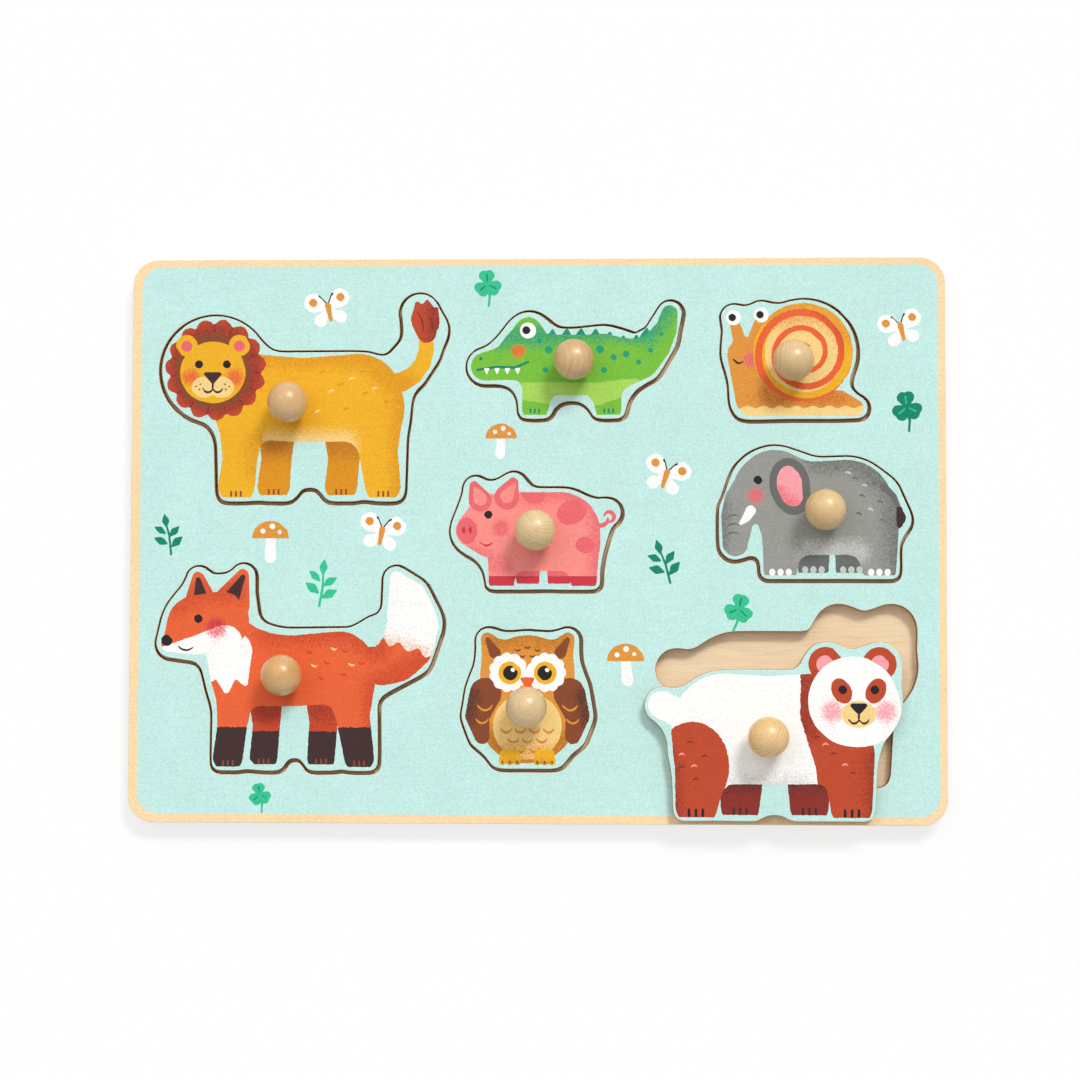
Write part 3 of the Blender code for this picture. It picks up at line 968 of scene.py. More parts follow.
def elephant(art: Picture) -> None:
    """Draw a grey elephant with a pink-lined ear and a short tusk.

    Args:
        art: The piece's own picture.
    """
    near = standing(
        -22.3, 4, stroke((-6, 1, 15.9), (8, 1.4, 16.2)), dot(-18, 9, 12.3),
        stroke((-24, 8, 7.3), (-29, 3.4, 6.2), (-31.6, -2, 4.8), (-32.5, -12, 3.4)),
        stroke((-15, -8, 6.4), (-16, -21, 5)), stroke((18, -5, 8), (20, -21, 5)),
    )
    far = standing(
        -21.6, 3, stroke((-4.5, -8, 5.6), (-4, -21, 4.6)), stroke((10.5, -8, 6), (9.8, -21, 4.6)), margin=1,
    )
    art.ink(SLATE, far)
    art.ink(GREY, near)
    art.ink(SLATE, stroke((21.6, 9, 1.4), (25.4, 5.4, 1.1), (27.4, 0.4, 0.9)))
    art.ink(COCOA, stroke((27.4, 0.6, 1.1), (28, -2.6, 1.8), (27.4, -5.2, 1)).brushed(0.2))
    art.tufts(SLATE, near, [(11, 11), (18, 9), (13.6, 4.6), (20, 2.4), (4.4, 14.4), (12.4, -2),
                            (21, -4.4)], 20)
    art.tufts(PALE_GREY, near, [(14.6, 8.4), (16.6, -0.4), (8.6, 13)], 20)
    art.ink(SLATE, blend(Oval(-12.6, 9.8, 7.4, 9.8, 8), dot(-11, 4, 5.2), softness=3).brushed(0.14))
    art.ink(PINK, blend(Oval(-12.6, 9.8, 4.6, 6.9, 8), dot(-11.2, 5, 3.2), softness=2).brushed(0.2))
    art.ink(WHITE, stroke((-26.8, 0.2, 1.9), (-28.4, -2.4, 1.5), (-30.4, -4.4, 0.7)))
    art.eyes(1.6, (-24.2, 11.4))
    for level in (-4.4, -7.6, -10.8):
        art.ink(SLATE, arc(-33, level, 3, 150, 55, 0.65))
    for foot, level, ink in ((-16, -22.4, WHITE), (20, -22.4, WHITE), (-4, -21.5, PALE_GREY),
                             (9.8, -21.5, PALE_GREY)):
        for step in (-1, 0, 1):
            art.ink(ink, Oval(foot + step * 3, level, 1.15, 1.3))
    art.blush(ROSE, 3.4, GREY, (-25, 5.6))
    art.fade(SLATE, [(-2, 19.4), (12, 19.4), (26, 8), (28, -22)], 8, 0.7, GREY)
    art.fade(SLATE, [(-38, 2), (-38.5, -12)], 5, 0.6, GREY)
    art.fade(PALE_GREY, [(-6, -15), (12, -15)], 6, 0.8, GREY)
    art.fade(ROSE, [(-17, 6), (-12, 1)], 5, 0.6, PINK)


def owl(art: Picture) -> None:
    """Draw a brown-winged owl with a scalloped breast.

    Args:
        art: The piece's own picture.
    """
    body = blend(stroke((0, -2, 18.4), (0, 9, 17.4)), stroke((-9.5, 16, 7), (-14.8, 25, 2.4)),
                 stroke((9.5, 16, 7), (14.8, 25, 2.4)), softness=3).brushed(0.14)
    art.ink(OCHRE, body)
    art.ink(SAND, Both(body, Oval(0, -6.8, 12.6, 12.2).brushed(0.22)))
    for y, count in ((-8.4, 4), (-12, 3), (-15.6, 2)):
        for place in range(count):
            art.ink(OCHRE, arc((place - (count - 1) / 2) * 5.2, y + 1.2, 2, 195, 345, 0.9))
    for side in (-1, 1):
        art.ink(BROWN, stroke((side * 15.4, 5, 5.8), (side * 18.4, -3, 4.4),
                              (side * 16.6, -10.6, 2.8)).brushed())
        art.ink(BROWN, stroke((side * 12, 20, 2.2), (side * 14.6, 24.8, 0.9)).brushed(0.12))
        art.ink(OCHRE, arc(side * 15.6, 1.8, 2.9, 200, 340, 0.8),
                arc(side * 16.6, -3.4, 2.4, 200, 340, 0.75))
        toes = [stroke((side * 6.4 + step * 2, -16.8, 1.5), (side * 6.4 + step * 2.7, -19.7, 1.4))
                for step in (-1, 0, 1)]
        art.ink(GOLD, blend(*toes, softness=0.7))
        claws = [side * 6.4 + step * 2.7 for step in (-1, 0, 1)]
        art.ink(BROWN, *(stroke((x, -19.8, 0.4), (x, -20.5, 0.3)) for x in claws))
        art.ink(WHITE, Scalloped(side * 6.9, 12.8, 7.3, 11, 0.8))
        art.ink(GOLD, dot(side * 6.5, 12.6, 4.2))
        art.ink(BLACK, dot(side * 6.3, 12.6, 2.7))
        art.ink(WHITE, dot(side * 6.3 + 0.9, 13.7, 0.8))
    art.ink(ORANGE, Polygon(((-2, 10.4), (2, 10.4), (0, 7)), 0.6))
    art.tufts(BROWN, body, [(-3.6, 22), (0, 23), (3.6, 22), (-1.8, 19.8), (1.8, 19.8)], 215)
    art.fade(TAN, [(-10, 26), (0, 28.5), (10, 26)], 9, 0.8, OCHRE)
    art.fade(TAN, [(-14, -12), (0, -22), (14, -12)], 6, 0.8, OCHRE)
    art.fade(TAN, [(-6, -22), (6, -22)], 4, 0.6, GOLD)
    art.fade(OCHRE, [(-8, -18), (8, -18)], 7, 0.6, SAND)
    art.fade(COCOA, [(-21, 4), (-23, -4)], 5, 0.6, BROWN)
    art.fade(COCOA, [(21, 4), (23, -4)], 5, 0.6, BROWN)


def bear(art: Picture) -> None:
    """Draw a white bear with chestnut legs, shoulder, ears and eye patches.

    Args:
        art: The piece's own picture.
    """
    near = standing(
        -27.9, 4,
        stroke((-15, 3, 18.8), (0, 2.4, 18.4), (16, 3, 18.8)), stroke((-23.5, -8, 9), (-25.8, -25, 6.4)),
        stroke((29, -6, 8.5), (30.2, -25, 6.4)),
    )
    far = standing(-27.2, 3, stroke((-9.5, -9, 7.6), (-10, -25, 6)), stroke((15, -9, 7.6), (15, -25, 6)),
                   margin=1)
    haunch = Oval(-28, -11.5, 14, 17, -8)
    legs = Either((stroke((-27, -22, 12), (-27, -34, 12)), stroke((32, -22, 13), (32, -34, 13))))
    shoulder = stroke((18, 27, 6), (19.4, 8, 7.6), (29, -8, 12), (32, -32, 12))
    head = blend(dot(31, 13, 16.3), Oval(35.5, 8.6, 12.4, 11), softness=3).brushed(0.12)
    art.ink(MAROON, far)
    art.ink(WHITE, stroke((-33, 9, 5), (-38.4, 11.6, 5)).brushed(0.25))
    art.ink(WHITE, near)
    marked = Both(near, Either((haunch, legs, shoulder)).brushed(0.3))
    art.ink(CHESTNUT, marked)
    art.tufts(MAROON, marked, [(-28, -3), (-22.6, -8), (-31, -12), (-26, -16.4), (18, -1), (24, -7),
                               (31, -14)], 40)
    art.tufts(CORAL, marked, [(-31, -7.4), (-26.6, -11.6), (21, -3.6), (28, -11)], 40)
    for x in (21, 40.6):
        art.ink(CHESTNUT, dot(x, 26.6, 6.2).brushed(0.14))
        art.ink(PINK, dot(x, 26.4, 3.3))
    art.ink(WHITE, head)
    art.ink(CHESTNUT, Oval(26.8, 16.8, 3.5, 4.8, 28).brushed(0.14),
            Oval(39.2, 16.8, 3.5, 4.8, -28).brushed(0.14))
    art.eyes(1.6, (27.2, 17.2), (38.8, 17.2))
    art.ink(SAND, Oval(33, 8.4, 6.2, 4.9).brushed(0.1))
    art.ink(BLACK, Polygon(((30.8, 11.5), (35.2, 11.5), (33, 9.1)), 0.85))
    art.ink(COCOA, *muzzle(33, 8.8, 1.8))
    art.toes(BLACK, (-26, 30.4), -26.4, 2.5, 2.2, 1)
    art.toes(COCOA, (-10, 15), -25.8, 2.3, 2, 0.9)
    art.blush(PINK, 4.6, WHITE, (23.4, 9.4), (42.8, 9.4))
    art.fade(MAROON, [(-38, -8), (-36, -30)], 8, 0.7, CHESTNUT)
    art.fade(MAROON, [(40, -8), (40, -30)], 7, 0.7, CHESTNUT)
    art.fade(MAROON, [(14, 20), (14, 2)], 6, 0.6, CHESTNUT)
    art.fade(COCOA, [(-16, -15), (20, -15)], 7, 0.5, MAROON)
    art.fade(PALE_GREY, [(-12, -18), (12, -18)], 6, 0.5, WHITE)


DRAWINGS: dict[str, Callable[[Picture], None]] = {
    "lion": lion, "fox": fox, "crocodile": crocodile, "snail": snail, "pig": pig, "elephant": elephant,
    "owl": owl, "bear": bear,
}


@dataclass(frozen=True)
class Spot:
    """Where a small motif stands on the board, how it is turned and how large it is."""

    x: float
    y: float
    turn: float = 0.0
    size: float = 1.0

    def disc(self, x: float, y: float, radius: float) -> Disc:
        """A disc of the motif's own drawing, put in its place on the board.

        Args:
            x: Its abscissa in the drawing.
            y: Its ordinate there.
            radius: Its radius there.

        Returns:
            The disc on the board.
        """
        bearing = radians(self.turn)
        return (self.x + self.size * (x * cos(bearing) - y * sin(bearing)),
                self.y + self.size * (x * sin(bearing) + y * cos(bearing)), radius * self.size)


@dataclass(frozen=True)
class Meadow:
    """The small motifs between the cut-outs."""

    panel: RoundedPanel = RoundedPanel(0.4, 0.25, 146.9, 101.1, 7.5)  # the mint ground
    butterflies: tuple[Spot, ...] = (
        Spot(-77, 85, 12, 1.2), Spot(47.5, 23, -18, 1.2), Spot(-57, 2, -10, 1.2), Spot(134, 77, 14, 1.15),
    )
    sprigs: tuple[tuple[Spot, Ink], ...] = (
        (Spot(-136, 1, 10, 1.1), PINE), (Spot(-79, -17, -6, 1.25), SEA_GREEN),
        (Spot(47, -9, 18, 1.2), PINE),
    )
    clovers: tuple[tuple[Spot, Ink, Ink], ...] = (
        (Spot(-18, 93, 6, 1.05), SEA_GREEN, PINE),
        (Spot(74, -27, -12, 1.1), SEA_GREEN, PINE),
        (Spot(136, 47, 8, 1.15), PINE, SEA_GREEN),
        (Spot(-101, -95, 10, 0.85), SEA_GREEN, PINE),
    )
    toadstools: tuple[Spot, ...] = (Spot(-98, 0, 0, 1.25), Spot(33, -45, 6, 1.25), Spot(-13, 37, -4, 1.05))

    def picture(self) -> Picture:
        """All motifs, on the mint ground inside its cream border.

        Returns:
            The picture.
        """
        art = Picture(CREAM)
        art.ink(MINT, self.panel)
        for spot in self.butterflies:
            self.butterfly(art, spot)
        for spot, green in self.sprigs:
            self.sprig(art, spot, green)
        for spot, green, vein in self.clovers:
            self.clover(art, spot, green, vein)
        for spot in self.toadstools:
            self.toadstool(art, spot)
        return art

    @staticmethod
    def butterfly(art: Picture, spot: Spot) -> None:
        """Print white wings with an ochre eye, body and feelers.

        Args:
            art: The board's picture.
            spot: Where it stands.
        """
        at = spot.disc
        for side in (-1, 1):
            upper = stroke(at(side * 1.3, 1.2, 1), at(side * 4.2, 3.2, 2.9))
            lower = stroke(at(side, -0.8, 0.8), at(side * 3.1, -2.6, 2))
            art.ink(WHITE, blend(upper, lower, softness=0.8).brushed(0.1))
            art.ink(OCHRE, stroke(at(side * 4.3, 3.3, 1.3)))
            art.ink(COCOA, stroke(at(side * 0.3, 2.2, 0.22), at(side * 1.4, 4.2, 0.2),
                                  at(side * 2.1, 4.9, 0.34)))
        art.ink(OCHRE, stroke(at(0, -3, 0.55), at(0, 1.6, 0.95)))

    @staticmethod
    def sprig(art: Picture, spot: Spot, green: Ink) -> None:
        """Print a stem with five pointed leaves.

        Args:
            art: The board's picture.
            spot: Where it stands.
            green: Ink of the plant.
        """
        at = spot.disc
        parts = [stroke(at(0, -6, 0.38), at(0.4, 0, 0.34), at(0, 5.2, 0.28)),
                 stroke(at(0, 3.6, 0.3), at(0, 5.4, 1.2), at(0, 7.6, 0.2))]
        for y, size, side in ((-3.4, 1.0, 1), (-2.2, 1.0, -1), (0.2, 0.9, 1), (1.4, 0.85, -1)):
            parts.append(stroke(at(side * 0.8, y, 0.3),
                                at(side * 2.6 * size, y + 1.3, 1.35 * size),
                                at(side * 4.5 * size, y + 2.5, 0.25)))
        art.ink(green, Either(tuple(parts)).brushed(0.08))

    @staticmethod
    def clover(art: Picture, spot: Spot, green: Ink, vein: Ink) -> None:
        """Print a three-leaved clover with veins.

        Args:
            art: The board's picture.
            spot: Where it stands.
            green: Ink of the leaves and stem.
            vein: Ink of the veins.
        """
        at = spot.disc
        hub = 1.6
        parts = [stroke(at(0, 0.2, 0.5), at(0.3, -3, 0.42), at(-0.4, -6.2, 0.4))]
        veins = []
        for bearing in (90, 215, 325):
            way_x, way_y = cos(radians(bearing)), sin(radians(bearing))
            for side in (-0.95, 0.95):
                lobe_x, lobe_y = 3 * way_x - side * way_y, hub + 3 * way_y + side * way_x
                parts.append(stroke(at(0, hub, 0.5), at(lobe_x, lobe_y, 1.85)))
            veins.append(stroke(at(0.9 * way_x, hub + 0.9 * way_y, 0.22),
                                at(3.3 * way_x, hub + 3.3 * way_y, 0.3)))
        art.ink(green, Either(tuple(parts)).brushed(0.08))
        art.ink(vein, Either(tuple(veins)))

    @staticmethod
    def toadstool(art: Picture, spot: Spot) -> None:
        """Print a white stalk under a dotted ochre cap.

        Args:
            art: The board's picture.
            spot: Where it stands.
        """
        at = spot.disc
        cap_x, cap_y, cap_radius = at(0, 0.6, 5.2)
        cap = Both(Oval(cap_x, cap_y, cap_radius, cap_radius * 0.9), Band(cap_y, cap_y + 20))
        art.ink(WHITE, stroke(at(0, -5.2, 1.7), at(0, 1, 1.35)).brushed(0.1))
        art.ink(OCHRE, blend(cap, cap, softness=1.2).brushed(0.1))
        art.ink(WHITE, *(stroke(at(*dotted)) for dotted in
                         ((-2.3, 2.5, 0.75), (0.5, 3.9, 0.85), (2.7, 2.2, 0.6))))


Adder = Callable[..., Node]  # adds a node to one material's tree


def fill(node: Node, inputs: dict[str, object] | Sequence[object]) -> Node:
    """Give a node's sockets their values and links.

    Args:
        node: The node.
        inputs: What goes into each socket, by the sockets' names or in the order of those in use. It is a
            value, an output, or a node, which stands for the first of its outputs in use.

    Returns:
        The same node.
    """
    named = isinstance(inputs, dict)
    sockets = [node.inputs[name] for name in inputs] if named else [
        socket for socket in node.inputs if socket.enabled]
    for socket, value in zip(sockets, inputs.values() if named else inputs):
        if isinstance(value, Node):
            value = next(output for output in value.outputs if output.enabled)
        if isinstance(value, NodeSocket):
            node.id_data.links.new(value, socket)
        else:
            socket.default_value = value
    return node


def add_node(tree: NodeTree, kind: str, inputs: dict[str, object] | Sequence[object] = (),
             **settings) -> Node:
    """Add a shader node.

    Args:
        tree: The material's node tree.
        kind: The node's type name after "ShaderNode".
        inputs: What fill puts into its sockets.
        settings: The node's own properties.

    Returns:
        The new node.
    """
    made = tree.nodes.new("ShaderNode" + kind)
    for name, value in settings.items():
        setattr(made, name, value)
    return fill(made, inputs)


def blank_material(name: str) -> tuple[Material, Adder, Node, Node]:
    """Start a material.

    Args:
        name: The material's name.

    Returns:
        The material, what adds nodes to it, its main shader, and the surface point in millimetres.
    """
    material = bpy.data.materials.new(name)
    material.use_nodes = True
    add = partial(add_node, material.node_tree)
    point = add("VectorMath", (add("TexCoord").outputs["Object"], 1 / MM), operation="SCALE")
    return material, add, material.node_tree.nodes["Principled BSDF"], point


def stretched_noise(add: Adder, point: Node, size: Triple, detail: float = 2.0) -> Node:
    """Noise whose blobs have a given size.

    Args:
        add: What adds nodes to the material.
        point: The surface point in millimetres.
        size: Rough size of a blob along each axis, in millimetres.
        detail: How much finer noise is added.

    Returns:
        The noise, from 0 to 1 and mostly near 0.5.
    """
    placed = add("Mapping", {"Vector": point, "Scale": tuple(1 / (2 * length) for length in size)})
    return add("TexNoise", {"Vector": placed, "Scale": 1.0, "Detail": detail})


def stained(add: Adder, under: object, pattern: Node, levels: Place, strength: float, stain: str) -> Node:
    """Lay a stain over a colour where a pattern runs high.

    Args:
        add: What adds nodes to the material.
        under: The colour below.
        pattern: The pattern.
        levels: Where in the pattern the stain starts, and where it has its full strength.
        strength: The stain's greatest share.
        stain: Its hex value.

    Returns:
        The colour with the stain on it.
    """
    share = add("MapRange", (pattern, *levels, 0.0, strength))
    return add("Mix", (share, under, linear(stain)), data_type="RGBA")


def shown_directly(add: Adder) -> Node:
    """One for what the camera, a reflection or glass shows, else nought.

    Args:
        add: What adds nodes to the material.

    Returns:
        The node that gives it.
    """
    path = add("LightPath").outputs
    indirect = add("Math", (path["Is Glossy Ray"], path["Is Transmission Ray"]), operation="MAXIMUM")
    return add("Math", (path["Is Camera Ray"], indirect), operation="MAXIMUM")


@dataclass(frozen=True)
class PrintedPlywood:
    """Gouache-like ink screen-printed on birch plywood, under a thin matt varnish.

    The eye gets solid colour with a fine tooth, soft dotted shading, a hint of the wood's grain and a
    dull sheen.
    """

    name: str = "screen_printed_birch_plywood"
    dot_size: float = 0.36       # real stipple is about 0.2 mm; coarser here so that it shows
    tooth_size: float = 0.27     # the ink's speckle
    tooth_depth: float = 0.13
    cloud_size: float = 9.0      # where the squeegee left more or less ink
    cloud_depth: float = 0.02
    grain_size: Triple = (9.0, 0.3, 0.3)
    grain_depth: float = 0.028
    speck_spacing: float = 11.0  # now and then a dust speck caught under the varnish
    speck_radius: float = 0.2
    speck_strength: float = 0.45
    speck_colour: str = "#5d5a50"
    roughness: float = 0.52
    varnish_ior: float = 1.47
    sheen_level: float = 0.18    # a matt varnish over a dull ink gives back less than a clear one
    relief: float = 0.012 * MM

    def material(self) -> Material:
        """Build the material, which reads its inks from the mesh.

        Returns:
            The material.
        """
        material, add, shader, point = blank_material(self.name)
        dust = add("Attribute", attribute_name="dust").outputs
        cells = add("TexVoronoi", {"Vector": point, "Scale": 1 / self.dot_size})
        chance = add("SeparateColor", (cells.outputs["Color"],))
        dotted = add("Math", (chance, dust["Alpha"]), operation="LESS_THAN")
        share = add("Math", (add("Math", (dotted, dust["Alpha"]), operation="ADD"), 0.5),
                    operation="MULTIPLY")
        ink = add("Attribute", attribute_name="ink")
        colour = add("Mix", (share, ink, dust["Color"]), data_type="RGBA")

        tooth = stretched_noise(add, point, (self.tooth_size,) * 3, 3.0)
        cloud = stretched_noise(add, point, (self.cloud_size,) * 3)
        grain = stretched_noise(add, point, self.grain_size, 4.0)
        for pattern, low, high, depth in ((tooth, 0.25, 0.75, self.tooth_depth),
                                          (cloud, 0.3, 0.7, self.cloud_depth),
                                          (grain, 0.3, 0.7, self.grain_depth)):
            light = add("MapRange", (pattern, low, high, 1 - depth, 1 + depth))
            colour = add("VectorMath", (colour, light), operation="SCALE")

        specks = add("TexVoronoi", {"Vector": point, "Scale": 1 / self.speck_spacing})
        speck = add("Math", (specks, self.speck_radius / self.speck_spacing), operation="LESS_THAN")
        colour = stained(add, colour, speck, (0.0, 1.0), self.speck_strength, self.speck_colour)
        coarse = add("Math", (tooth, 0.6), operation="MULTIPLY")
        height = add("Math", (grain, coarse), operation="ADD")
        fill(shader, {
            "Base Color": colour,
            "Roughness": add("MapRange", (tooth, 0.3, 0.7, self.roughness - 0.06, self.roughness + 0.06)),
            "Normal": add("Bump", {"Height": height, "Distance": self.relief, "Strength": 0.6}),
            "IOR": self.varnish_ior,
            "Specular IOR Level": self.sheen_level,
        })
        return material


@dataclass(frozen=True)
class BirchVeneer:
    """Rotary-cut birch veneer, sanded and left bare.

    The eye gets a pale, even face with long soft figure along X, short fine pores and no shine.
    """

    name: str = "sanded_birch_veneer"
    pale: str = "#f4debb"
    mean: str = "#efd5b0"
    dark: str = "#d0ae80"
    pore: str = "#a87e52"
    bend_spacing: float = 62.5            # the figure wanders this slowly
    bend: Triple = (0.0, 14.0, 0.0)       # and this far
    figure_size: Triple = (40.0, 3.5, 3.5)
    fibre_size: Triple = (5.0, 0.2, 0.2)  # real fibres are finer; coarser to show
    pore_size: Triple = (1.1, 0.16, 0.16)
    roughness: float = 0.62
    relief: float = 0.03 * MM

    def material(self) -> Material:
        """Build the material.

        Returns:
            The material.
        """
        material, add, shader, point = blank_material(self.name)
        wander = add("TexNoise", {"Vector": point, "Scale": 1 / self.bend_spacing, "Detail": 1.0})
        shift = add("VectorMath", (wander.outputs["Color"], self.bend), operation="MULTIPLY")
        flowing = add("VectorMath", (point, shift), operation="ADD")
        figure = stretched_noise(add, flowing, self.figure_size)
        fibre = stretched_noise(add, flowing, self.fibre_size, 4.0)
        pores = stretched_noise(add, flowing, self.pore_size, 1.0)
        colour = stained(add, linear(self.mean), figure, (0.38, 0.64), 1.0, self.pale)
        colour = stained(add, colour, fibre, (0.46, 0.74), 0.42, self.dark)
        colour = stained(add, colour, pores, (0.64, 0.78), 0.25, self.pore)
        fill(shader, {
            "Base Color": colour,
            "Roughness": add("MapRange", (fibre, 0.3, 0.7, self.roughness - 0.05, self.roughness + 0.07)),
            "Normal": add("Bump", {"Height": fibre, "Distance": self.relief, "Strength": 0.5}),
        })
        return material


@dataclass(frozen=True)
class PlywoodEdge:
    """The edge of birch plywood, sanded or browned by the cutter.

    The eye gets crossed plies as light and dark layers, fine glue lines between them, and on a cut edge
    upright scorch marks.
    """

    name: str
    base: float    # level of the sheet's underside in millimetres
    thickness: float
    plies: int
    light: str
    dark: str
    glue: str
    streak: float  # how strongly the cutter's marks show
    glue_width: float = 0.12
    streak_size: Triple = (0.28, 0.28, 3.5)
    pore_size: Triple = (0.25, 0.25, 0.18)
    roughness: float = 0.7
    relief: float = 0.04 * MM

    def material(self) -> Material:
        """Build the material.

        Returns:
            The material.
        """
        material, add, shader, point = blank_material(self.name)
        ply = self.thickness / self.plies
        level = add("SeparateXYZ", (point,)).outputs["Z"]
        above = add("Math", (level, self.base), operation="SUBTRACT")
        layer = add("Math", (above, ply), operation="DIVIDE")
        pair = add("Math", (layer, 2.0), operation="MODULO")
        crossed = add("Math", (pair, 1.0), operation="GREATER_THAN")
        off_seam = add("Math", (add("Math", (layer,), operation="FRACT"), 0.5), operation="PINGPONG")
        seam = add("Math", (off_seam, self.glue_width / 2 / ply), operation="LESS_THAN")
        marks = stretched_noise(add, point, self.streak_size, 3.0)
        pores = stretched_noise(add, point, self.pore_size)
        colour = stained(add, linear(self.light), crossed, (0.0, 1.0), 0.75, self.dark)
        colour = stained(add, colour, seam, (0.0, 1.0), 0.8, self.glue)
        colour = stained(add, colour, marks, (0.4, 0.7), self.streak, self.glue)
        colour = stained(add, colour, pores, (0.55, 0.75), 0.35, self.glue)
        height = add("Math", (marks, pores), operation="ADD")
        fill(shader, {
            "Base Color": colour,
            "Roughness": self.roughness,
            "Normal": add("Bump", {"Height": height, "Distance": self.relief, "Strength": 0.6}),
        })
        return material


@dataclass(frozen=True)
class TurnedBeech:
    """Turned beech under clear satin lacquer.

    The eye gets honey-coloured growth rings round the top, some strong and some faint, that run down the
    sides as lines, short dark flecks, and a soft highlight.
    """

    name: str
    centre: Triple                # the knob's middle in millimetres
    heart: Place                  # where the growth rings' heart lies from there
    lean: Place                   # how the grain leans, in degrees
    mean: str                     # every blank of wood has its own tone
    ring_spacing: float
    ring_wander: float = 2.4      # how far a ring leaves the round
    wander_spacing: float = 6.25  # and how slowly
    fibre_size: Triple = (0.3, 0.3, 5.0)  # real fibres are finer; coarser to show
    fleck_size: Triple = (0.2, 0.2, 1.2)
    tone_size: Triple = (5.0, 5.0, 14.0)
    pale: str = "#e8c694"
    late: str = "#ac7034"
    fleck: str = "#8a5828"
    roughness: float = 0.4
    lacquer_roughness: float = 0.35
    lacquer_ior: float = 1.6
    relief: float = 0.015 * MM

    def material(self) -> Material:
        """Build the material.

        Returns:
            The material.
        """
        material, add, shader, point = blank_material(self.name)
        own = add("VectorMath", (point, self.centre), operation="SUBTRACT")
        lean = (radians(self.lean[0]), radians(self.lean[1]), 0.0)
        grain = add("Mapping", {"Vector": own, "Rotation": lean, "Location": (*self.heart, 0.0)})
        wander = add("TexNoise", {"Vector": grain, "Scale": 1 / self.wander_spacing, "Detail": 2.0})
        flat = add("VectorMath", (grain, (1.0, 1.0, 0.0)), operation="MULTIPLY")
        round_reach = add("VectorMath", (flat,), operation="LENGTH")
        bent = add("Math", (wander, self.ring_wander), operation="MULTIPLY")
        reach = add("Math", (round_reach, bent), operation="ADD")
        year = add("Math", (reach, self.ring_spacing), operation="DIVIDE")
        within = add("Math", (year,), operation="FRACT")
        summer = add("TexWhiteNoise", {"W": add("Math", (year,), operation="FLOOR")}, noise_dimensions="1D")
        late = add("MapRange", (within, 0.5, 0.9))
        for pattern, *span in ((within, 0.9, 1.0, 1.0, 0.0), (summer, 0.2, 1.0, 0.15, 1.0)):
            late = add("Math", (late, add("MapRange", (pattern, *span))), operation="MULTIPLY")
        fibre = stretched_noise(add, grain, self.fibre_size, 3.0)
        fleck = stretched_noise(add, grain, self.fleck_size, 1.0)
        tone = stretched_noise(add, grain, self.tone_size, 1.0)
        colour = stained(add, linear(self.mean), tone, (0.35, 0.65), 0.5, self.pale)
        colour = stained(add, colour, late, (0.0, 1.0), 0.38, self.late)
        colour = stained(add, colour, fibre, (0.5, 0.75), 0.3, self.late)
        colour = stained(add, colour, fleck, (0.66, 0.74), 0.4, self.fleck)
        fill(shader, {
            "Base Color": colour,
            "Roughness": self.roughness,
            "Normal": add("Bump", {"Height": fibre, "Distance": self.relief, "Strength": 0.5}),
            "Specular IOR Level": 0.2,
            "Coat Weight": 1.0,
            "Coat Roughness": self.lacquer_roughness,
            "Coat IOR": self.lacquer_ior,
        })
        return material


@dataclass(frozen=True)
class ZincPlatedSteel:
    """Cold-headed steel with bright zinc plating.

    The eye gets a cool grey metal whose shine is broken by fine turning marks and duller patches.
    """

    name: str = "zinc_plated_steel"
    colour: str = "#c8ccd0"
    dull: str = "#9aa0a5"
    patch_size: Triple = (0.8, 0.8, 0.8)
    scratch_size: Triple = (0.06, 1.5, 0.3)  # turning marks
    roughness: float = 0.3
    relief: float = 0.004 * MM

    def material(self) -> Material:
        """Build the material.

        Returns:
            The material.
        """
        material, add, shader, point = blank_material(self.name)
        patch = stretched_noise(add, point, self.patch_size, 3.0)
        scratch = stretched_noise(add, point, self.scratch_size)
        fill(shader, {
            "Base Color": stained(add, linear(self.colour), patch, (0.45, 0.7), 0.6, self.dull),
            "Metallic": 1.0,
            "Roughness": add("MapRange", (patch, 0.3, 0.7, self.roughness - 0.06, self.roughness + 0.12)),
            "Normal": add("Bump", {"Height": scratch, "Distance": self.relief, "Strength": 0.5}),
        })
        return material


def shifted(loop: Loop, inward: float) -> Loop:
    """Move an outline square to itself, towards the side on its left.

    Args:
        loop: The outline, with its material on the left.
        inward: How far it moves into the material.

    Returns:
        The moved outline, point for point.
    """
    ahead = np.roll(loop, -1, axis=0) - loop
    ahead /= np.hypot(ahead[:, 0], ahead[:, 1])[:, None]
    normal = np.stack([-ahead[:, 1], ahead[:, 0]], axis=1)
    both = normal + np.roll(normal, 1, axis=0)
    length = np.hypot(both[:, 0], both[:, 1])
    return loop + both / length[:, None] * (inward / np.maximum(length / 2, 0.5))[:, None]


def circle(x: float, y: float, radius: float, sides: int, clockwise: bool = False) -> Loop:
    """A ring of points."""
    bearing = np.arange(sides) * 2 * pi / sides * (-1 if clockwise else 1)
    return np.stack([x + radius * np.cos(bearing), y + radius * np.sin(bearing)], axis=1)


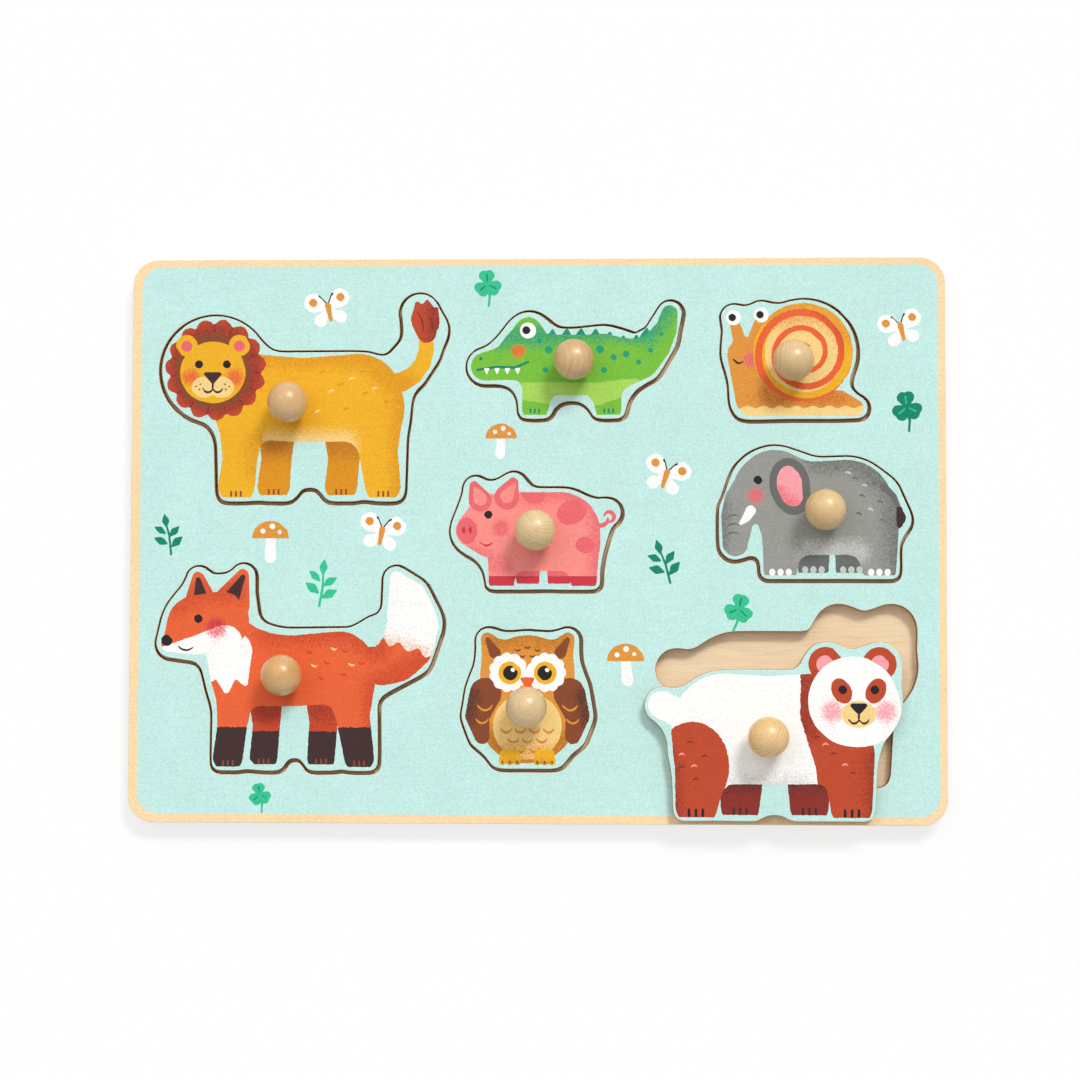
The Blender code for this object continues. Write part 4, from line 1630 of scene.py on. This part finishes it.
def cut_lines(node: str) -> list[Loop]:
    """Read the outlines of a CAD plate's top face, largest first, with the material on the left.

    Args:
        node: Name of the CAD node.

    Returns:
        The outlines in millimetres.
    """
    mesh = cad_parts[node].data
    top = max(vertex.co.z for vertex in mesh.vertices)
    mesh.calc_loop_triangles()
    sides: set[tuple[Place, Place]] = set()
    for triangle in mesh.loop_triangles:
        corners = [mesh.vertices[index].co for index in triangle.vertices]
        if all(abs(corner.z - top) < 1e-6 for corner in corners):
            flat = [(round(corner.x / MM, 3), round(corner.y / MM, 3)) for corner in corners]
            sides.update(zip(flat, flat[1:] + flat[:1]))
    following = {start: end for start, end in sides if (end, start) not in sides}
    loops = []
    while following:
        point = next(iter(following))
        points = []
        while point in following:
            points.append(point)
            point = following.pop(point)
        loops.append(np.array(points))
    return sorted(loops, key=lambda loop: -np.ptp(loop[:, 0]))


def smoothed(loop: Loop, splits: int = 8) -> Loop:
    """Run a centripetal Catmull-Rom curve through an outline's points.

    Args:
        loop: The faceted outline.
        splits: Points to try on each side, before those that add nothing go.

    Returns:
        The curve as a finer outline.
    """
    before, after, beyond = (np.roll(loop, turn, axis=0) for turn in (1, -1, -2))
    gaps = [np.sqrt(np.hypot(*(end - start).T))[:, None]
            for start, end in ((before, loop), (loop, after), (after, beyond))]
    entry = (loop - before) / gaps[0] - (after - before) / (gaps[0] + gaps[1]) + (after - loop) / gaps[1]
    leave = (after - loop) / gaps[1] - (beyond - loop) / (gaps[1] + gaps[2]) + (beyond - after) / gaps[2]
    entry, leave = entry * gaps[1], leave * gaps[1]
    rows = []
    for step in range(splits):
        share = step / splits
        rows.append((2 * share ** 3 - 3 * share ** 2 + 1) * loop
                    + (share ** 3 - 2 * share ** 2 + share) * entry
                    + (3 * share ** 2 - 2 * share ** 3) * after + (share ** 3 - share ** 2) * leave)
    return thinned(np.stack(rows, axis=1).reshape(-1, 2), CUT_TOLERANCE, 0.4)


class Draft:
    """The points, faces, finishes and inks of one mesh while it is made."""

    def __init__(self, name: str, finishes: Sequence[Material]) -> None:
        """Start an empty mesh that will wear these finishes.

        Args:
            name: The mesh's name.
            finishes: Its materials.
        """
        self.name = name
        self.finishes = list(finishes)
        self.points: list[Triple] = []
        self.faces: list[tuple[int, ...]] = []
        self.wears: list[int] = []
        self.smooth: list[bool] = []
        self.inks: dict[int, tuple[Ink, list[Colour]]] = {}

    def ring(self, loop: Loop, level: float) -> list[int]:
        """Add an outline's points at one level.

        Args:
            loop: The outline.
            level: Its height.

        Returns:
            The points' numbers.
        """
        start = len(self.points)
        self.points.extend((x, y, level) for x, y in loop.tolist())
        return list(range(start, len(self.points)))

    def face(self, corners: Sequence[int], finish: int, smooth: bool) -> None:
        """Add one face.

        Args:
            corners: Its points' numbers, counter-clockwise from outside.
            finish: Number of the finish.
            smooth: Whether it is shaded smooth.
        """
        self.faces.append(tuple(corners))
        self.wears.append(finish)
        self.smooth.append(smooth)

    def wall(self, lower: Sequence[int], upper: Sequence[int], finish: int) -> None:
        """Join two rings, the lower one first, with the outside on their right."""
        for near, far in zip(range(len(lower)), [*range(1, len(lower)), 0]):
            self.face((lower[near], lower[far], upper[far], upper[near]), finish, True)

    def sheet(self, rings: Sequence[Sequence[int]], finish: int, facing_up: bool = True,
              picture: Picture | None = None, origin: Place = (0.0, 0.0)) -> None:
        """Close flat rings with triangles, cut along a picture's inks if there is one.

        Args:
            rings: The rings of points, with the material on the left.
            finish: Number of the finish.
            facing_up: Whether the face looks up or down.
            picture: What is printed on it.
            origin: Where the picture's origin lies.
        """
        level = self.points[rings[0][0]][2]
        rims = [np.array([self.points[number][:2] for number in ring]) for ring in rings]
        numbers = [number for ring in rings for number in ring]
        layers = []
        loose = np.zeros((0, 2))
        if picture:
            layers = [(ink, [loop + origin for loop in shape.rims()]) for ink, shape in picture.layers]
            loose = np.concatenate([stipple.seeds() + origin for stipple in picture.stipples] or [loose])
            loose = loose[enclosed([shifted(rim, SEED_MARGIN) for rim in rims], loose)]
        loops = rims + [loop for _, found in layers for loop in found]
        edges = []
        count = 0
        for loop in loops:
            edges += [(count + at, count + (at + 1) % len(loop)) for at in range(len(loop))]
            count += len(loop)
        flat = np.concatenate([*loops, loose])
        spots, _, triangles, sources, _, _ = delaunay_2d_cdt(
            [Vector(point) for point in flat.tolist()], edges, [], 0, MERGE_DISTANCE, True)
        corners = np.array([[spots[number][:2] for number in triangle] for triangle in triangles])
        middles = corners.mean(axis=1)
        kept = np.flatnonzero(enclosed(rims, middles))
        first = len(self.faces)
        place: dict[int, int] = {}
        for number in kept:
            triangle = triangles[number]
            for corner in triangle:
                if corner not in place:
                    own = [source for source in sources[corner] if source < len(numbers)]
                    place[corner] = numbers[own[0]] if own else len(self.points)
                    if not own:
                        self.points.append((*spots[corner][:2], level))
            if not facing_up:
                triangle = triangle[::-1]
            self.face([place[corner] for corner in triangle], finish, False)
        if picture:
            self.print_inks(first, corners[kept], middles[kept], layers, picture, origin)

    def print_inks(self, first: int, corners: np.ndarray, middles: np.ndarray,
                   layers: Sequence[tuple[Ink, list[Loop]]], picture: Picture, origin: Place) -> None:
        """Give each new face its topmost ink, and each of its corners its stipple.

        Args:
            first: Number of the first new face.
            corners: The corners of each new face.
            middles: The middle of each new face.
            layers: The inks and the rims that they fill.
            picture: The picture, for its ground and stipples.
            origin: Where the picture's origin lies.
        """
        inks = np.full(len(middles), picture.ground, object)
        for ink, loops in layers:
            inks[enclosed(loops, middles)] = ink
        x, y = corners[:, :, 0] - origin[0], corners[:, :, 1] - origin[1]
        dust = np.zeros((*x.shape, 4))
        for stipple in picture.stipples:
            wanted = np.isin(inks, np.array(stipple.over, object))
            thickness = np.where(wanted[:, None], stipple.thickness(x, y), 0)
            above = thickness.sum(axis=1) > dust[:, :, 3].sum(axis=1)
            dust[above] = linear(stipple.ink.value)
            dust[above, :, 3] = thickness[above]
        for number, (ink, colours) in enumerate(zip(inks, dust.tolist())):
            self.inks[first + number] = (ink, colours)

    def turn(self, profile: Sequence[Place], x: float, y: float, sides: int, finish: int) -> None:
        """Turn a profile round an upright axis.

        Args:
            profile: Radius and height of each ring, from the bottom up along the outside. A radius of
                nought closes the form with one point.
            x: The axis' abscissa.
            y: The axis' ordinate.
            sides: Sides of each ring.
            finish: Number of the finish.
        """
        below: list[int] = []
        for radius, height in profile:
            ring = self.ring(circle(x, y, radius, sides) if radius else np.array([[x, y]]), height)
            if below and len(below) == len(ring):
                self.wall(below, ring, finish)
            elif below:
                tip, rim = (ring[0], below) if len(ring) == 1 else (below[0], ring[::-1])
                for near, far in zip(rim, rim[1:] + rim[:1]):
                    self.face((near, far, tip), finish, True)
            below = ring

    def finish(self, body: str, slot: str, *nodes: str) -> None:
        """Make the object and hand it to the frame.

        Args:
            body: The CAD body that it rides on.
            slot: The record's material slot, which is not used.
            nodes: The CAD nodes that it stands for.
        """
        piece = self.mesh_object()
        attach(piece, body)
        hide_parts(*nodes)
        LOG.info("%s: %d points, %d faces", self.name, len(self.points), len(self.faces))

    def close_cracks(self) -> None:
        """Give each face the corners that others have along its sides, as where an ink meets the rim."""
        owners = {(face[at - 1], face[at]): number
                  for number, face in enumerate(self.faces) for at in range(len(face))}
        lone = [side for side in owners if side[::-1] not in owners]
        ends = np.unique(lone)
        spots = np.array(self.points)
        for near, far in lone:
            along, away = spots[far] - spots[near], spots[ends] - spots[near]
            reach = away @ along / (along @ along)
            off = np.linalg.norm(away - reach[:, None] * along, axis=1)
            inner = (reach > 0) & (reach < 1) & (off < CRACK)
            if inner.any():
                face = self.faces[owners[near, far]]
                at = face.index(far)
                self.faces[owners[near, far]] = (*face[at:], *face[:at],
                                                 *ends[inner][np.argsort(reach[inner])].tolist())

    def mesh_object(self) -> Object:
        """Make the mesh and its object.

        Returns:
            The object, in the scene.
        """
        self.close_cracks()
        mesh = bpy.data.meshes.new(self.name)
        mesh.from_pydata([(x * MM, y * MM, z * MM) for x, y, z in self.points], [], self.faces)
        for finish in self.finishes:
            mesh.materials.append(finish)
        mesh.polygons.foreach_set("material_index", self.wears)
        mesh.shade_smooth()
        mesh.set_sharp_from_angle(angle=radians(SHARP_ANGLE))
        mesh.polygons.foreach_set("use_smooth", self.smooth)
        if self.inks:
            self.store_inks(mesh)
        mesh.update()
        piece = bpy.data.objects.new(self.name, mesh)
        bpy.context.scene.collection.objects.link(piece)
        return piece

    def store_inks(self, mesh: Mesh) -> None:
        """Write the inks and the stipple to the face corners.

        Args:
            mesh: The mesh.
        """
        known = {ink: linear(ink.value) for ink in Ink}
        ink_values, dust_values = [], []
        for number, face in enumerate(self.faces):
            ink, dust = self.inks.get(number, (MINT, [(0.0, 0.0, 0.0, 0.0)] * len(face)))
            ink_values += [known[ink]] * len(face)
            dust_values += dust
        for name, values in (("ink", ink_values), ("dust", dust_values)):
            layer = mesh.color_attributes.new(name, "FLOAT_COLOR", "CORNER")
            layer.data.foreach_set("color", np.array(values, np.float32).ravel())


@dataclass(frozen=True)
class Finishes:
    """The materials that several pieces share."""

    printed: Material
    veneer: Material
    # bare wood of the eased rims, partly worn wood and partly whitened as a painted highlight along each
    # edge
    worn_and_highlit_edge: Material
    cut_edge: Material
    loose_cut_edge: Material
    sanded_face_edge: Material
    sanded_back_edge: Material
    steel: Material


# The second finish is the eased rim, whose pale wood is partly a painted highlight.
PRINT, WORN_AND_HIGHLIT, CUT, SANDED, BARE = range(5)  # numbers of a plate's finishes
BOARD_CORNER = 9.5
EASED_EDGE: tuple[Place, ...] = ((0.16, 0.0), (0.07, 0.04), (0.0, 0.16))  # inset and drop of each step
SEATING: dict[str, Place] = {  # how far each cut-out sits off its piece, which lies loose in it
    "lion": (-0.16, -0.42), "fox": (0.3, -0.38), "crocodile": (0.42, -0.28), "snail": (0.3, -0.42),
    "pig": (0.42, -0.34), "elephant": (-0.12, -0.46), "owl": (0.4, -0.28),
}


def level_box(node: str) -> tuple[Vector, Vector]:
    """A CAD node's box in millimetres."""
    low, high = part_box(node)
    return low / MM, high / MM


def board_outline(low: Vector, high: Vector) -> Loop:
    """The outline of a board with round corners that fills a box."""
    return RoundedPanel((low.x + high.x) / 2, (low.y + high.y) / 2, (high.x - low.x) / 2,
                        (high.y - low.y) / 2, BOARD_CORNER).rims()[0]


@dataclass
class FacePlate:
    """The printed sheet with its eight cut-outs."""

    finishes: Finishes
    meadow: Meadow = field(default_factory=Meadow)

    def build(self) -> None:
        """Build the sheet with its print, its eased edges and its walls."""
        low, high = level_box("face_plate")
        board_top = level_box("back_board")[1].z
        outer = board_outline(low, high)
        cut_outs = [self.cut_out(smoothed(loop)) for loop in cut_lines("face_plate")[1:]]
        shared = self.finishes
        draft = Draft("face_plate_printed", [shared.printed, shared.worn_and_highlit_edge, shared.cut_edge,
                                             shared.sanded_face_edge, shared.veneer])
        tops, feet = [], []
        for loop, wall, taper in [(outer, SANDED, 0.0)] + [(loop, CUT, CUT_TAPER) for loop in cut_outs]:
            rings = [draft.ring(shifted(loop, taper + inset), high.z - drop) for inset, drop in EASED_EDGE]
            foot = draft.ring(loop, board_top)
            draft.wall(rings[1], rings[0], PRINT if wall == SANDED else WORN_AND_HIGHLIT)
            draft.wall(rings[2], rings[1], WORN_AND_HIGHLIT)
            draft.wall(foot, rings[2], wall)
            tops.append(rings[0])
            feet.append(foot)
        draft.sheet(tops, PRINT, picture=self.meadow.picture())
        draft.sheet(feet, BARE, facing_up=False)
        draft.finish("board", "printed_sheet", "face_plate")

    @staticmethod
    def cut_out(loop: Loop) -> Loop:
        """Move a cut-out so that its piece lies a little to one side in it.

        Args:
            loop: The cut-out's even outline.

        Returns:
            The outline at the foot of the cut.
        """
        middle = (loop.min(axis=0) + loop.max(axis=0)) / 2
        for name, drift in SEATING.items():
            low, high = level_box(name + "_piece")
            if dist(middle, ((low.x + high.x) / 2, (low.y + high.y) / 2)) < 1:
                return loop + drift
        return loop


@dataclass
class BackBoard:
    """The plain board under the sheet, which is the floor of every cut-out."""

    finishes: Finishes
    eased: float = 0.4

    def build(self) -> None:
        """Build the board with rounded lower edges."""
        low, high = level_box("back_board")
        outer = board_outline(low, high)
        draft = Draft("back_board_birch", [self.finishes.veneer, self.finishes.sanded_back_edge])
        rings = [draft.ring(shifted(outer, inset * self.eased), low.z + rise * self.eased)
                 for inset, rise in ((1, 0), (0.5, 0.13), (0.13, 0.5), (0, 1))]
        rings.append(draft.ring(outer, high.z))
        for lower, upper in zip(rings, rings[1:]):
            draft.wall(lower, upper, 1)
        draft.sheet([rings[0]], 0, facing_up=False)
        draft.sheet([rings[-1]], 0)
        draft.finish("board", "plywood", "back_board")


@dataclass
class LiftOut:
    """One animal piece with its knob and screw."""

    name: str
    finishes: Finishes
    heart: Place
    lean: Place
    wood: str
    ring_spacing: float
    bore_radius: float = 1.8
    mouth_radius: float = 3.1
    mouth_rim: float = 0.5     # straight part of the countersunk mouth
    hole_depth: float = 7.9    # in the knob, for the screw
    bore_sides: int = 32
    knob_sides: int = 56
    knob_rings: int = 26
    foot_diameter: float = 9.4
    foot_height: float = 0.9
    foot_round: float = 0.25
    neck_diameter: float = 7.8
    neck_height: float = 1.9
    neck_hollow: float = 0.15  # rise of the bevels at the neck's two ends
    screw_sides: int = 40
    head_radius: float = 2.8
    head_rim: float = 0.3
    head_bevel: float = 0.1
    plain_shank: float = 2.2
    shank_radius: float = 1.5
    core_radius: float = 1.15  # between the threads
    thread_pitch: float = 1.2
    point_length: float = 2.0
    recess_span: float = 3.0
    recess_slot: float = 0.8
    recess_depth: float = 0.7

    def build(self) -> None:
        """Build the animal piece, the knob and the screw."""
        self.build_piece()
        self.build_knob()
        self.build_screw()

    def axis(self) -> Place:
        """Where the knob's axis stands."""
        low, high = level_box(self.name + "_knob")
        return (low.x + high.x) / 2, (low.y + high.y) / 2

    def build_piece(self) -> None:
        """Build the printed piece with its eased edge and its countersunk hole."""
        low, high = level_box(self.name + "_piece")
        foot = smoothed(cut_lines(self.name + "_piece")[0])
        face = shifted(foot, CUT_TAPER)
        shared = self.finishes
        cut = shared.loose_cut_edge if low.z > level_box("face_plate")[1].z else shared.cut_edge
        draft = Draft(self.name + "_printed_piece", [shared.printed, shared.worn_and_highlit_edge, cut, cut,
                                                     shared.veneer])
        rings = [draft.ring(shifted(face, inset), high.z - drop) for inset, drop in EASED_EDGE]
        back = [draft.ring(shifted(foot, drop), low.z + inset) for inset, drop in EASED_EDGE]
        draft.wall(rings[1], rings[0], PRINT)
        draft.wall(rings[2], rings[1], WORN_AND_HIGHLIT)
        for lower, upper in ((back[0], rings[2]), (back[1], back[0]), (back[2], back[1])):
            draft.wall(lower, upper, CUT)
        x, y = self.axis()
        mouth = self.mouth_radius
        sink_top = low.z + self.mouth_rim + mouth - self.bore_radius
        bore = [draft.ring(circle(x, y, radius, self.bore_sides, clockwise=True), level)
                for radius, level in ((mouth, low.z), (mouth, low.z + self.mouth_rim),
                                      (self.bore_radius, sink_top), (self.bore_radius, high.z))]
        for lower, upper in zip(bore, bore[1:]):
            draft.wall(lower, upper, CUT)
        picture = Picture()
        DRAWINGS[self.name](picture)
        draft.sheet([rings[0], bore[-1]], PRINT, picture=picture, origin=(x, y))
        draft.sheet([back[2], bore[0]], BARE, facing_up=False)
        draft.finish(self.name, self.name + "_print", self.name + "_piece")

    def build_knob(self) -> None:
        """Build the turned knob: a foot, a short neck and a ball."""
        low, high = level_box(self.name + "_knob")
        x, y = self.axis()
        radius = (high.x - low.x) / 2
        neck = self.neck_diameter / 2
        centre = high.z - radius
        start = -acos(neck / radius)
        foot = self.foot_diameter / 2
        profile = [(self.bore_radius, low.z), (foot - self.foot_round, low.z)]
        for step in range(1, 4):
            bearing = radians(-90 + 30 * step)
            profile.append((foot - self.foot_round * (1 - cos(bearing)),
                            low.z + self.foot_round * (1 + sin(bearing))))
        profile += [(foot, low.z + self.foot_height - self.foot_round),
                    (foot - self.foot_round * 0.35, low.z + self.foot_height - self.foot_round * 0.35),
                    (foot - self.foot_round, low.z + self.foot_height),
                    (neck + 0.25, low.z + self.foot_height + self.neck_hollow),
                    (neck, low.z + self.neck_height - self.neck_hollow)]
        for ring in range(1, self.knob_rings):
            bearing = start + (pi / 2 - start) * ring / self.knob_rings
            profile.append((radius * cos(bearing), centre + radius * sin(bearing)))
        profile.append((0, high.z))
        hole_top = low.z + self.hole_depth
        wood = TurnedBeech(self.name + "_turned_beech", (x, y, centre), self.heart, self.lean, self.wood,
                           self.ring_spacing).material()
        draft = Draft(self.name + "_turned_knob", [wood])
        hole = [draft.ring(circle(x, y, self.bore_radius, self.knob_sides, clockwise=True), level)
                for level in (low.z, hole_top)]
        draft.wall(hole[0], hole[1], 0)
        draft.sheet([hole[1][::-1]], 0, facing_up=False)
        draft.turn(profile, x, y, self.knob_sides, 0)
        draft.finish(self.name, "knob_wood", self.name + "_knob")

    def build_screw(self) -> None:
        """Build the countersunk screw with its cross recess and its thread."""
        low, high = level_box(self.name + "_screw")
        x, y = self.axis()
        draft = Draft(self.name + "_countersunk_screw", [self.finishes.steel])
        neck_level = low.z + self.head_rim + self.head_radius - self.shank_radius
        face = self.head_radius - self.head_bevel
        head = draft.ring(circle(x, y, face, self.screw_sides), low.z)
        draft.turn([(face, low.z), (self.head_radius, low.z + self.head_bevel),
                    (self.head_radius, low.z + self.head_rim), (self.shank_radius, neck_level),
                    *self.thread(neck_level + self.plain_shank, high.z)], x, y, self.screw_sides, 0)
        cross = np.array([(x + u, y + v) for u, v in self.cross()])
        rim, bottom = draft.ring(cross, low.z), draft.ring(cross, low.z + self.recess_depth)
        draft.wall(rim, bottom, 0)
        draft.sheet([head, rim[::-1]], 0, facing_up=False)
        draft.sheet([bottom], 0, facing_up=False)
        draft.finish(self.name, "screw_steel", self.name + "_screw")

    def thread(self, start: float, tip: float) -> list[Place]:
        """Profile of the threaded shank and its point, as rings.

        Args:
            start: Where the thread starts.
            tip: Where the screw ends.

        Returns:
            Radius and height of each ring.
        """
        rings: list[Place] = [(self.shank_radius, start)]
        level = start
        while level + self.thread_pitch < tip - 0.6:
            share = min(1.0, (tip - level - self.thread_pitch / 2) / self.point_length)
            rings += [(self.core_radius * share, level + 0.3), (self.core_radius * share, level + 0.7),
                      (self.shank_radius * share, level + self.thread_pitch)]
            level += self.thread_pitch
        return rings + [(0, tip)]

    def cross(self) -> list[Place]:
        """Corners of the screwdriver's cross, clockwise.

        Returns:
            The corners, from the head's middle.
        """
        reach, slot = self.recess_span / 2, self.recess_slot / 2
        corners = []
        for way_x, way_y in ((1, 0), (0, -1), (-1, 0), (0, 1)):
            for along, across in ((reach, -slot), (reach, slot), (slot, slot)):
                corners.append((along * way_x + across * way_y, along * way_y - across * way_x))
        return corners


@dataclass(frozen=True)
class Lamp:
    """A soft box far away."""

    name: str
    share: float     # share of all the light on a level face that comes from it
    bearing: float   # degrees from +X, towards the lamp
    elevation: float
    softness: float  # angle that it fills

    def build(self, scene: Scene) -> None:
        """Hang the lamp.

        Args:
            scene: The scene.
        """
        rise, bearing = radians(self.elevation), radians(self.bearing)
        light = bpy.data.lights.new(self.name, "SUN")
        light.angle = radians(self.softness)
        light.energy = self.share * pi / sin(rise)
        lamp = bpy.data.objects.new(self.name, light)
        lamp.location = (cos(rise) * cos(bearing), cos(rise) * sin(bearing), sin(rise))
        lamp.rotation_mode = "QUATERNION"
        lamp.rotation_quaternion = lamp.location.to_track_quat("Z", "Y")
        scene.collection.objects.link(lamp)


@dataclass
class Studio:
    """A white sweep, soft light from the upper right, and the camera."""

    camera_place: Triple = (43.1, -58.3, 1007.3)  # millimetres
    camera_roll: float = 0.02  # degrees
    camera_pitch: float = 3.33
    camera_yaw: float = 2.38
    lens: float = 91.0
    floor_size: float = 8000.0
    hole_inset: float = 2.0    # how far the paper goes under the board
    floor_colour: str = "#fbfbfb"
    ambient: float = 0.46      # share of the light that comes from all round
    lamps: tuple[Lamp, ...] = (
        Lamp("key_box_near_end", 0.2, 57, 44, 11), Lamp("key_box_far_end", 0.2, 69, 44, 11),
        Lamp("broad_fill", 0.16, 128, 54, 55),
    )
    paper_glow: float = 0.7  # share of the paper seen as plain white, to keep its shadows faint

    def build(self) -> None:
        """Set up the stage."""
        scene = bpy.context.scene
        scene.view_settings.view_transform = "Standard"
        self.add_floor()
        self.add_lights(scene)
        self.add_camera(scene)

    def add_floor(self) -> None:
        """Lay the paper sweep round the board. It is cut out below, so that the underside gets light."""
        half = self.floor_size / 2
        low, high = level_box("back_board")
        hole = RoundedPanel(0, 0, high.x - self.hole_inset, high.y - self.hole_inset,
                            BOARD_CORNER - self.hole_inset).rims()[0][::-1]
        sheet = np.array([(-half, -half), (half, -half), (half, half), (-half, half)])
        material, add, shader, _ = blank_material("matt_paper_sweep")
        fill(shader, {"Base Color": linear(self.floor_colour), "Roughness": 1.0, "Specular IOR Level": 0.0})
        white = add("Emission", {"Color": PLAIN_WHITE, "Strength": 1.0})
        share = add("Math", (shown_directly(add), self.paper_glow), operation="MULTIPLY")
        fill(material.node_tree.nodes["Material Output"],
             {"Surface": add("MixShader", (share, shader, white))})
        draft = Draft("studio_floor", [material])
        draft.sheet([draft.ring(sheet, low.z), draft.ring(hole, low.z)], 0)
        draft.mesh_object()

    def add_lights(self, scene: Scene) -> None:
        """Add the even light of the room and the soft boxes.

        Args:
            scene: The scene.
        """
        world = bpy.data.worlds.new("studio_room")
        world.use_nodes = True
        scene.world = world
        nodes = world.node_tree.nodes
        add = partial(add_node, world.node_tree)
        room = fill(nodes["Background"], {"Color": PLAIN_WHITE, "Strength": self.ambient})
        seen = add("Background", {"Color": PLAIN_WHITE, "Strength": 1.0})
        fill(nodes["World Output"], {"Surface": add("MixShader", (shown_directly(add), room, seen))})
        for lamp in self.lamps:
            lamp.build(scene)

    def add_camera(self, scene: Scene) -> None:
        """Hang the camera almost straight above the board, as in the photograph.

        Args:
            scene: The scene.
        """
        lens = bpy.data.cameras.new("camera")
        lens.lens = self.lens
        lens.sensor_width = 36.0
        camera = bpy.data.objects.new("camera", lens)
        turn = (Euler((0, 0, radians(self.camera_roll))).to_matrix()
                @ Euler((radians(self.camera_pitch), 0, 0)).to_matrix()
                @ Euler((0, radians(self.camera_yaw), 0)).to_matrix())
        camera.matrix_world = Matrix.Translation(Vector(self.camera_place) * MM) @ turn.to_4x4()
        scene.collection.objects.link(camera)
        scene.camera = camera


def shared_finishes() -> Finishes:
    """Make the materials that several pieces share.

    Returns:
        The set of materials.
    """
    face_low, face_high = level_box("face_plate")
    back_low, back_high = level_box("back_board")
    lifted = level_box("bear_piece")[0].z
    sheet = face_high.z - face_low.z
    laser_cut = {"thickness": sheet, "plies": 3, "light": "#c08c52", "dark": "#9e6f3c", "glue": "#6e4a26",
                 "streak": 0.7}
    sanded = {"plies": 3, "light": "#ecd3ad", "dark": "#cfa878", "glue": "#a37a4c", "streak": 0.15}
    return Finishes(
        printed=PrintedPlywood().material(),
        veneer=BirchVeneer().material(),
        # The eased rim's bare wood is made paler than the veneer: real worn wood, whitened further as a
        # painted highlight along every cut edge.
        worn_and_highlit_edge=PlywoodEdge("eased_plywood_rim_painted_highlight", face_low.z, sheet, 1, "#f5ecdb", "#ecdbc0", "#d8bd96",
                              0.3).material(),
        cut_edge=PlywoodEdge("laser_cut_plywood_edge", face_low.z, **laser_cut).material(),
        loose_cut_edge=PlywoodEdge("laser_cut_loose_piece_edge", lifted, **laser_cut).material(),
        sanded_face_edge=PlywoodEdge("sanded_face_plate_edge", face_low.z, thickness=sheet,
                                     **sanded).material(),
        sanded_back_edge=PlywoodEdge("sanded_back_board_edge", back_low.z,
                                     thickness=back_high.z - back_low.z, **sanded).material(),
        steel=ZincPlatedSteel().material(),
    )


GRAINS: dict[str, tuple[Place, Place, str, float]] = {  # each knob's heart, lean, tone and ring spacing
    "lion": ((1.2, -0.8), (4, 3), "#d3a469", 0.85),
    "fox": ((-0.6, -0.9), (-4, 6), "#cf9a53", 0.9),
    "crocodile": ((16.0, 2.0), (10, -8), "#c79a5f", 2.3),
    "snail": ((-13.0, 1.4), (-4, -3), "#d3b27b", 1.25),
    "pig": ((-4.5, -8.0), (9, 4), "#dec28b", 1.3),
    "elephant": ((1.0, 9.0), (5, -7), "#d8b477", 1.05),
    "owl": ((-1.0, -1.5), (-5, 3), "#dbbf8c", 1.1),
    "bear": ((2.5, -2.5), (6, 9), "#e8bf79", 1.2),
}


def main() -> None:
    """Build every piece round the frame, then the stage."""
    logging.basicConfig(level=logging.INFO, format="%(message)s")
    finishes = shared_finishes()
    FacePlate(finishes).build()
    BackBoard(finishes).build()
    for name, (heart, lean, wood, ring_spacing) in GRAINS.items():
        LiftOut(name, finishes, heart, lean, wood, ring_spacing).build()
    Studio().build()


if __name__ == "__main__":
    main()
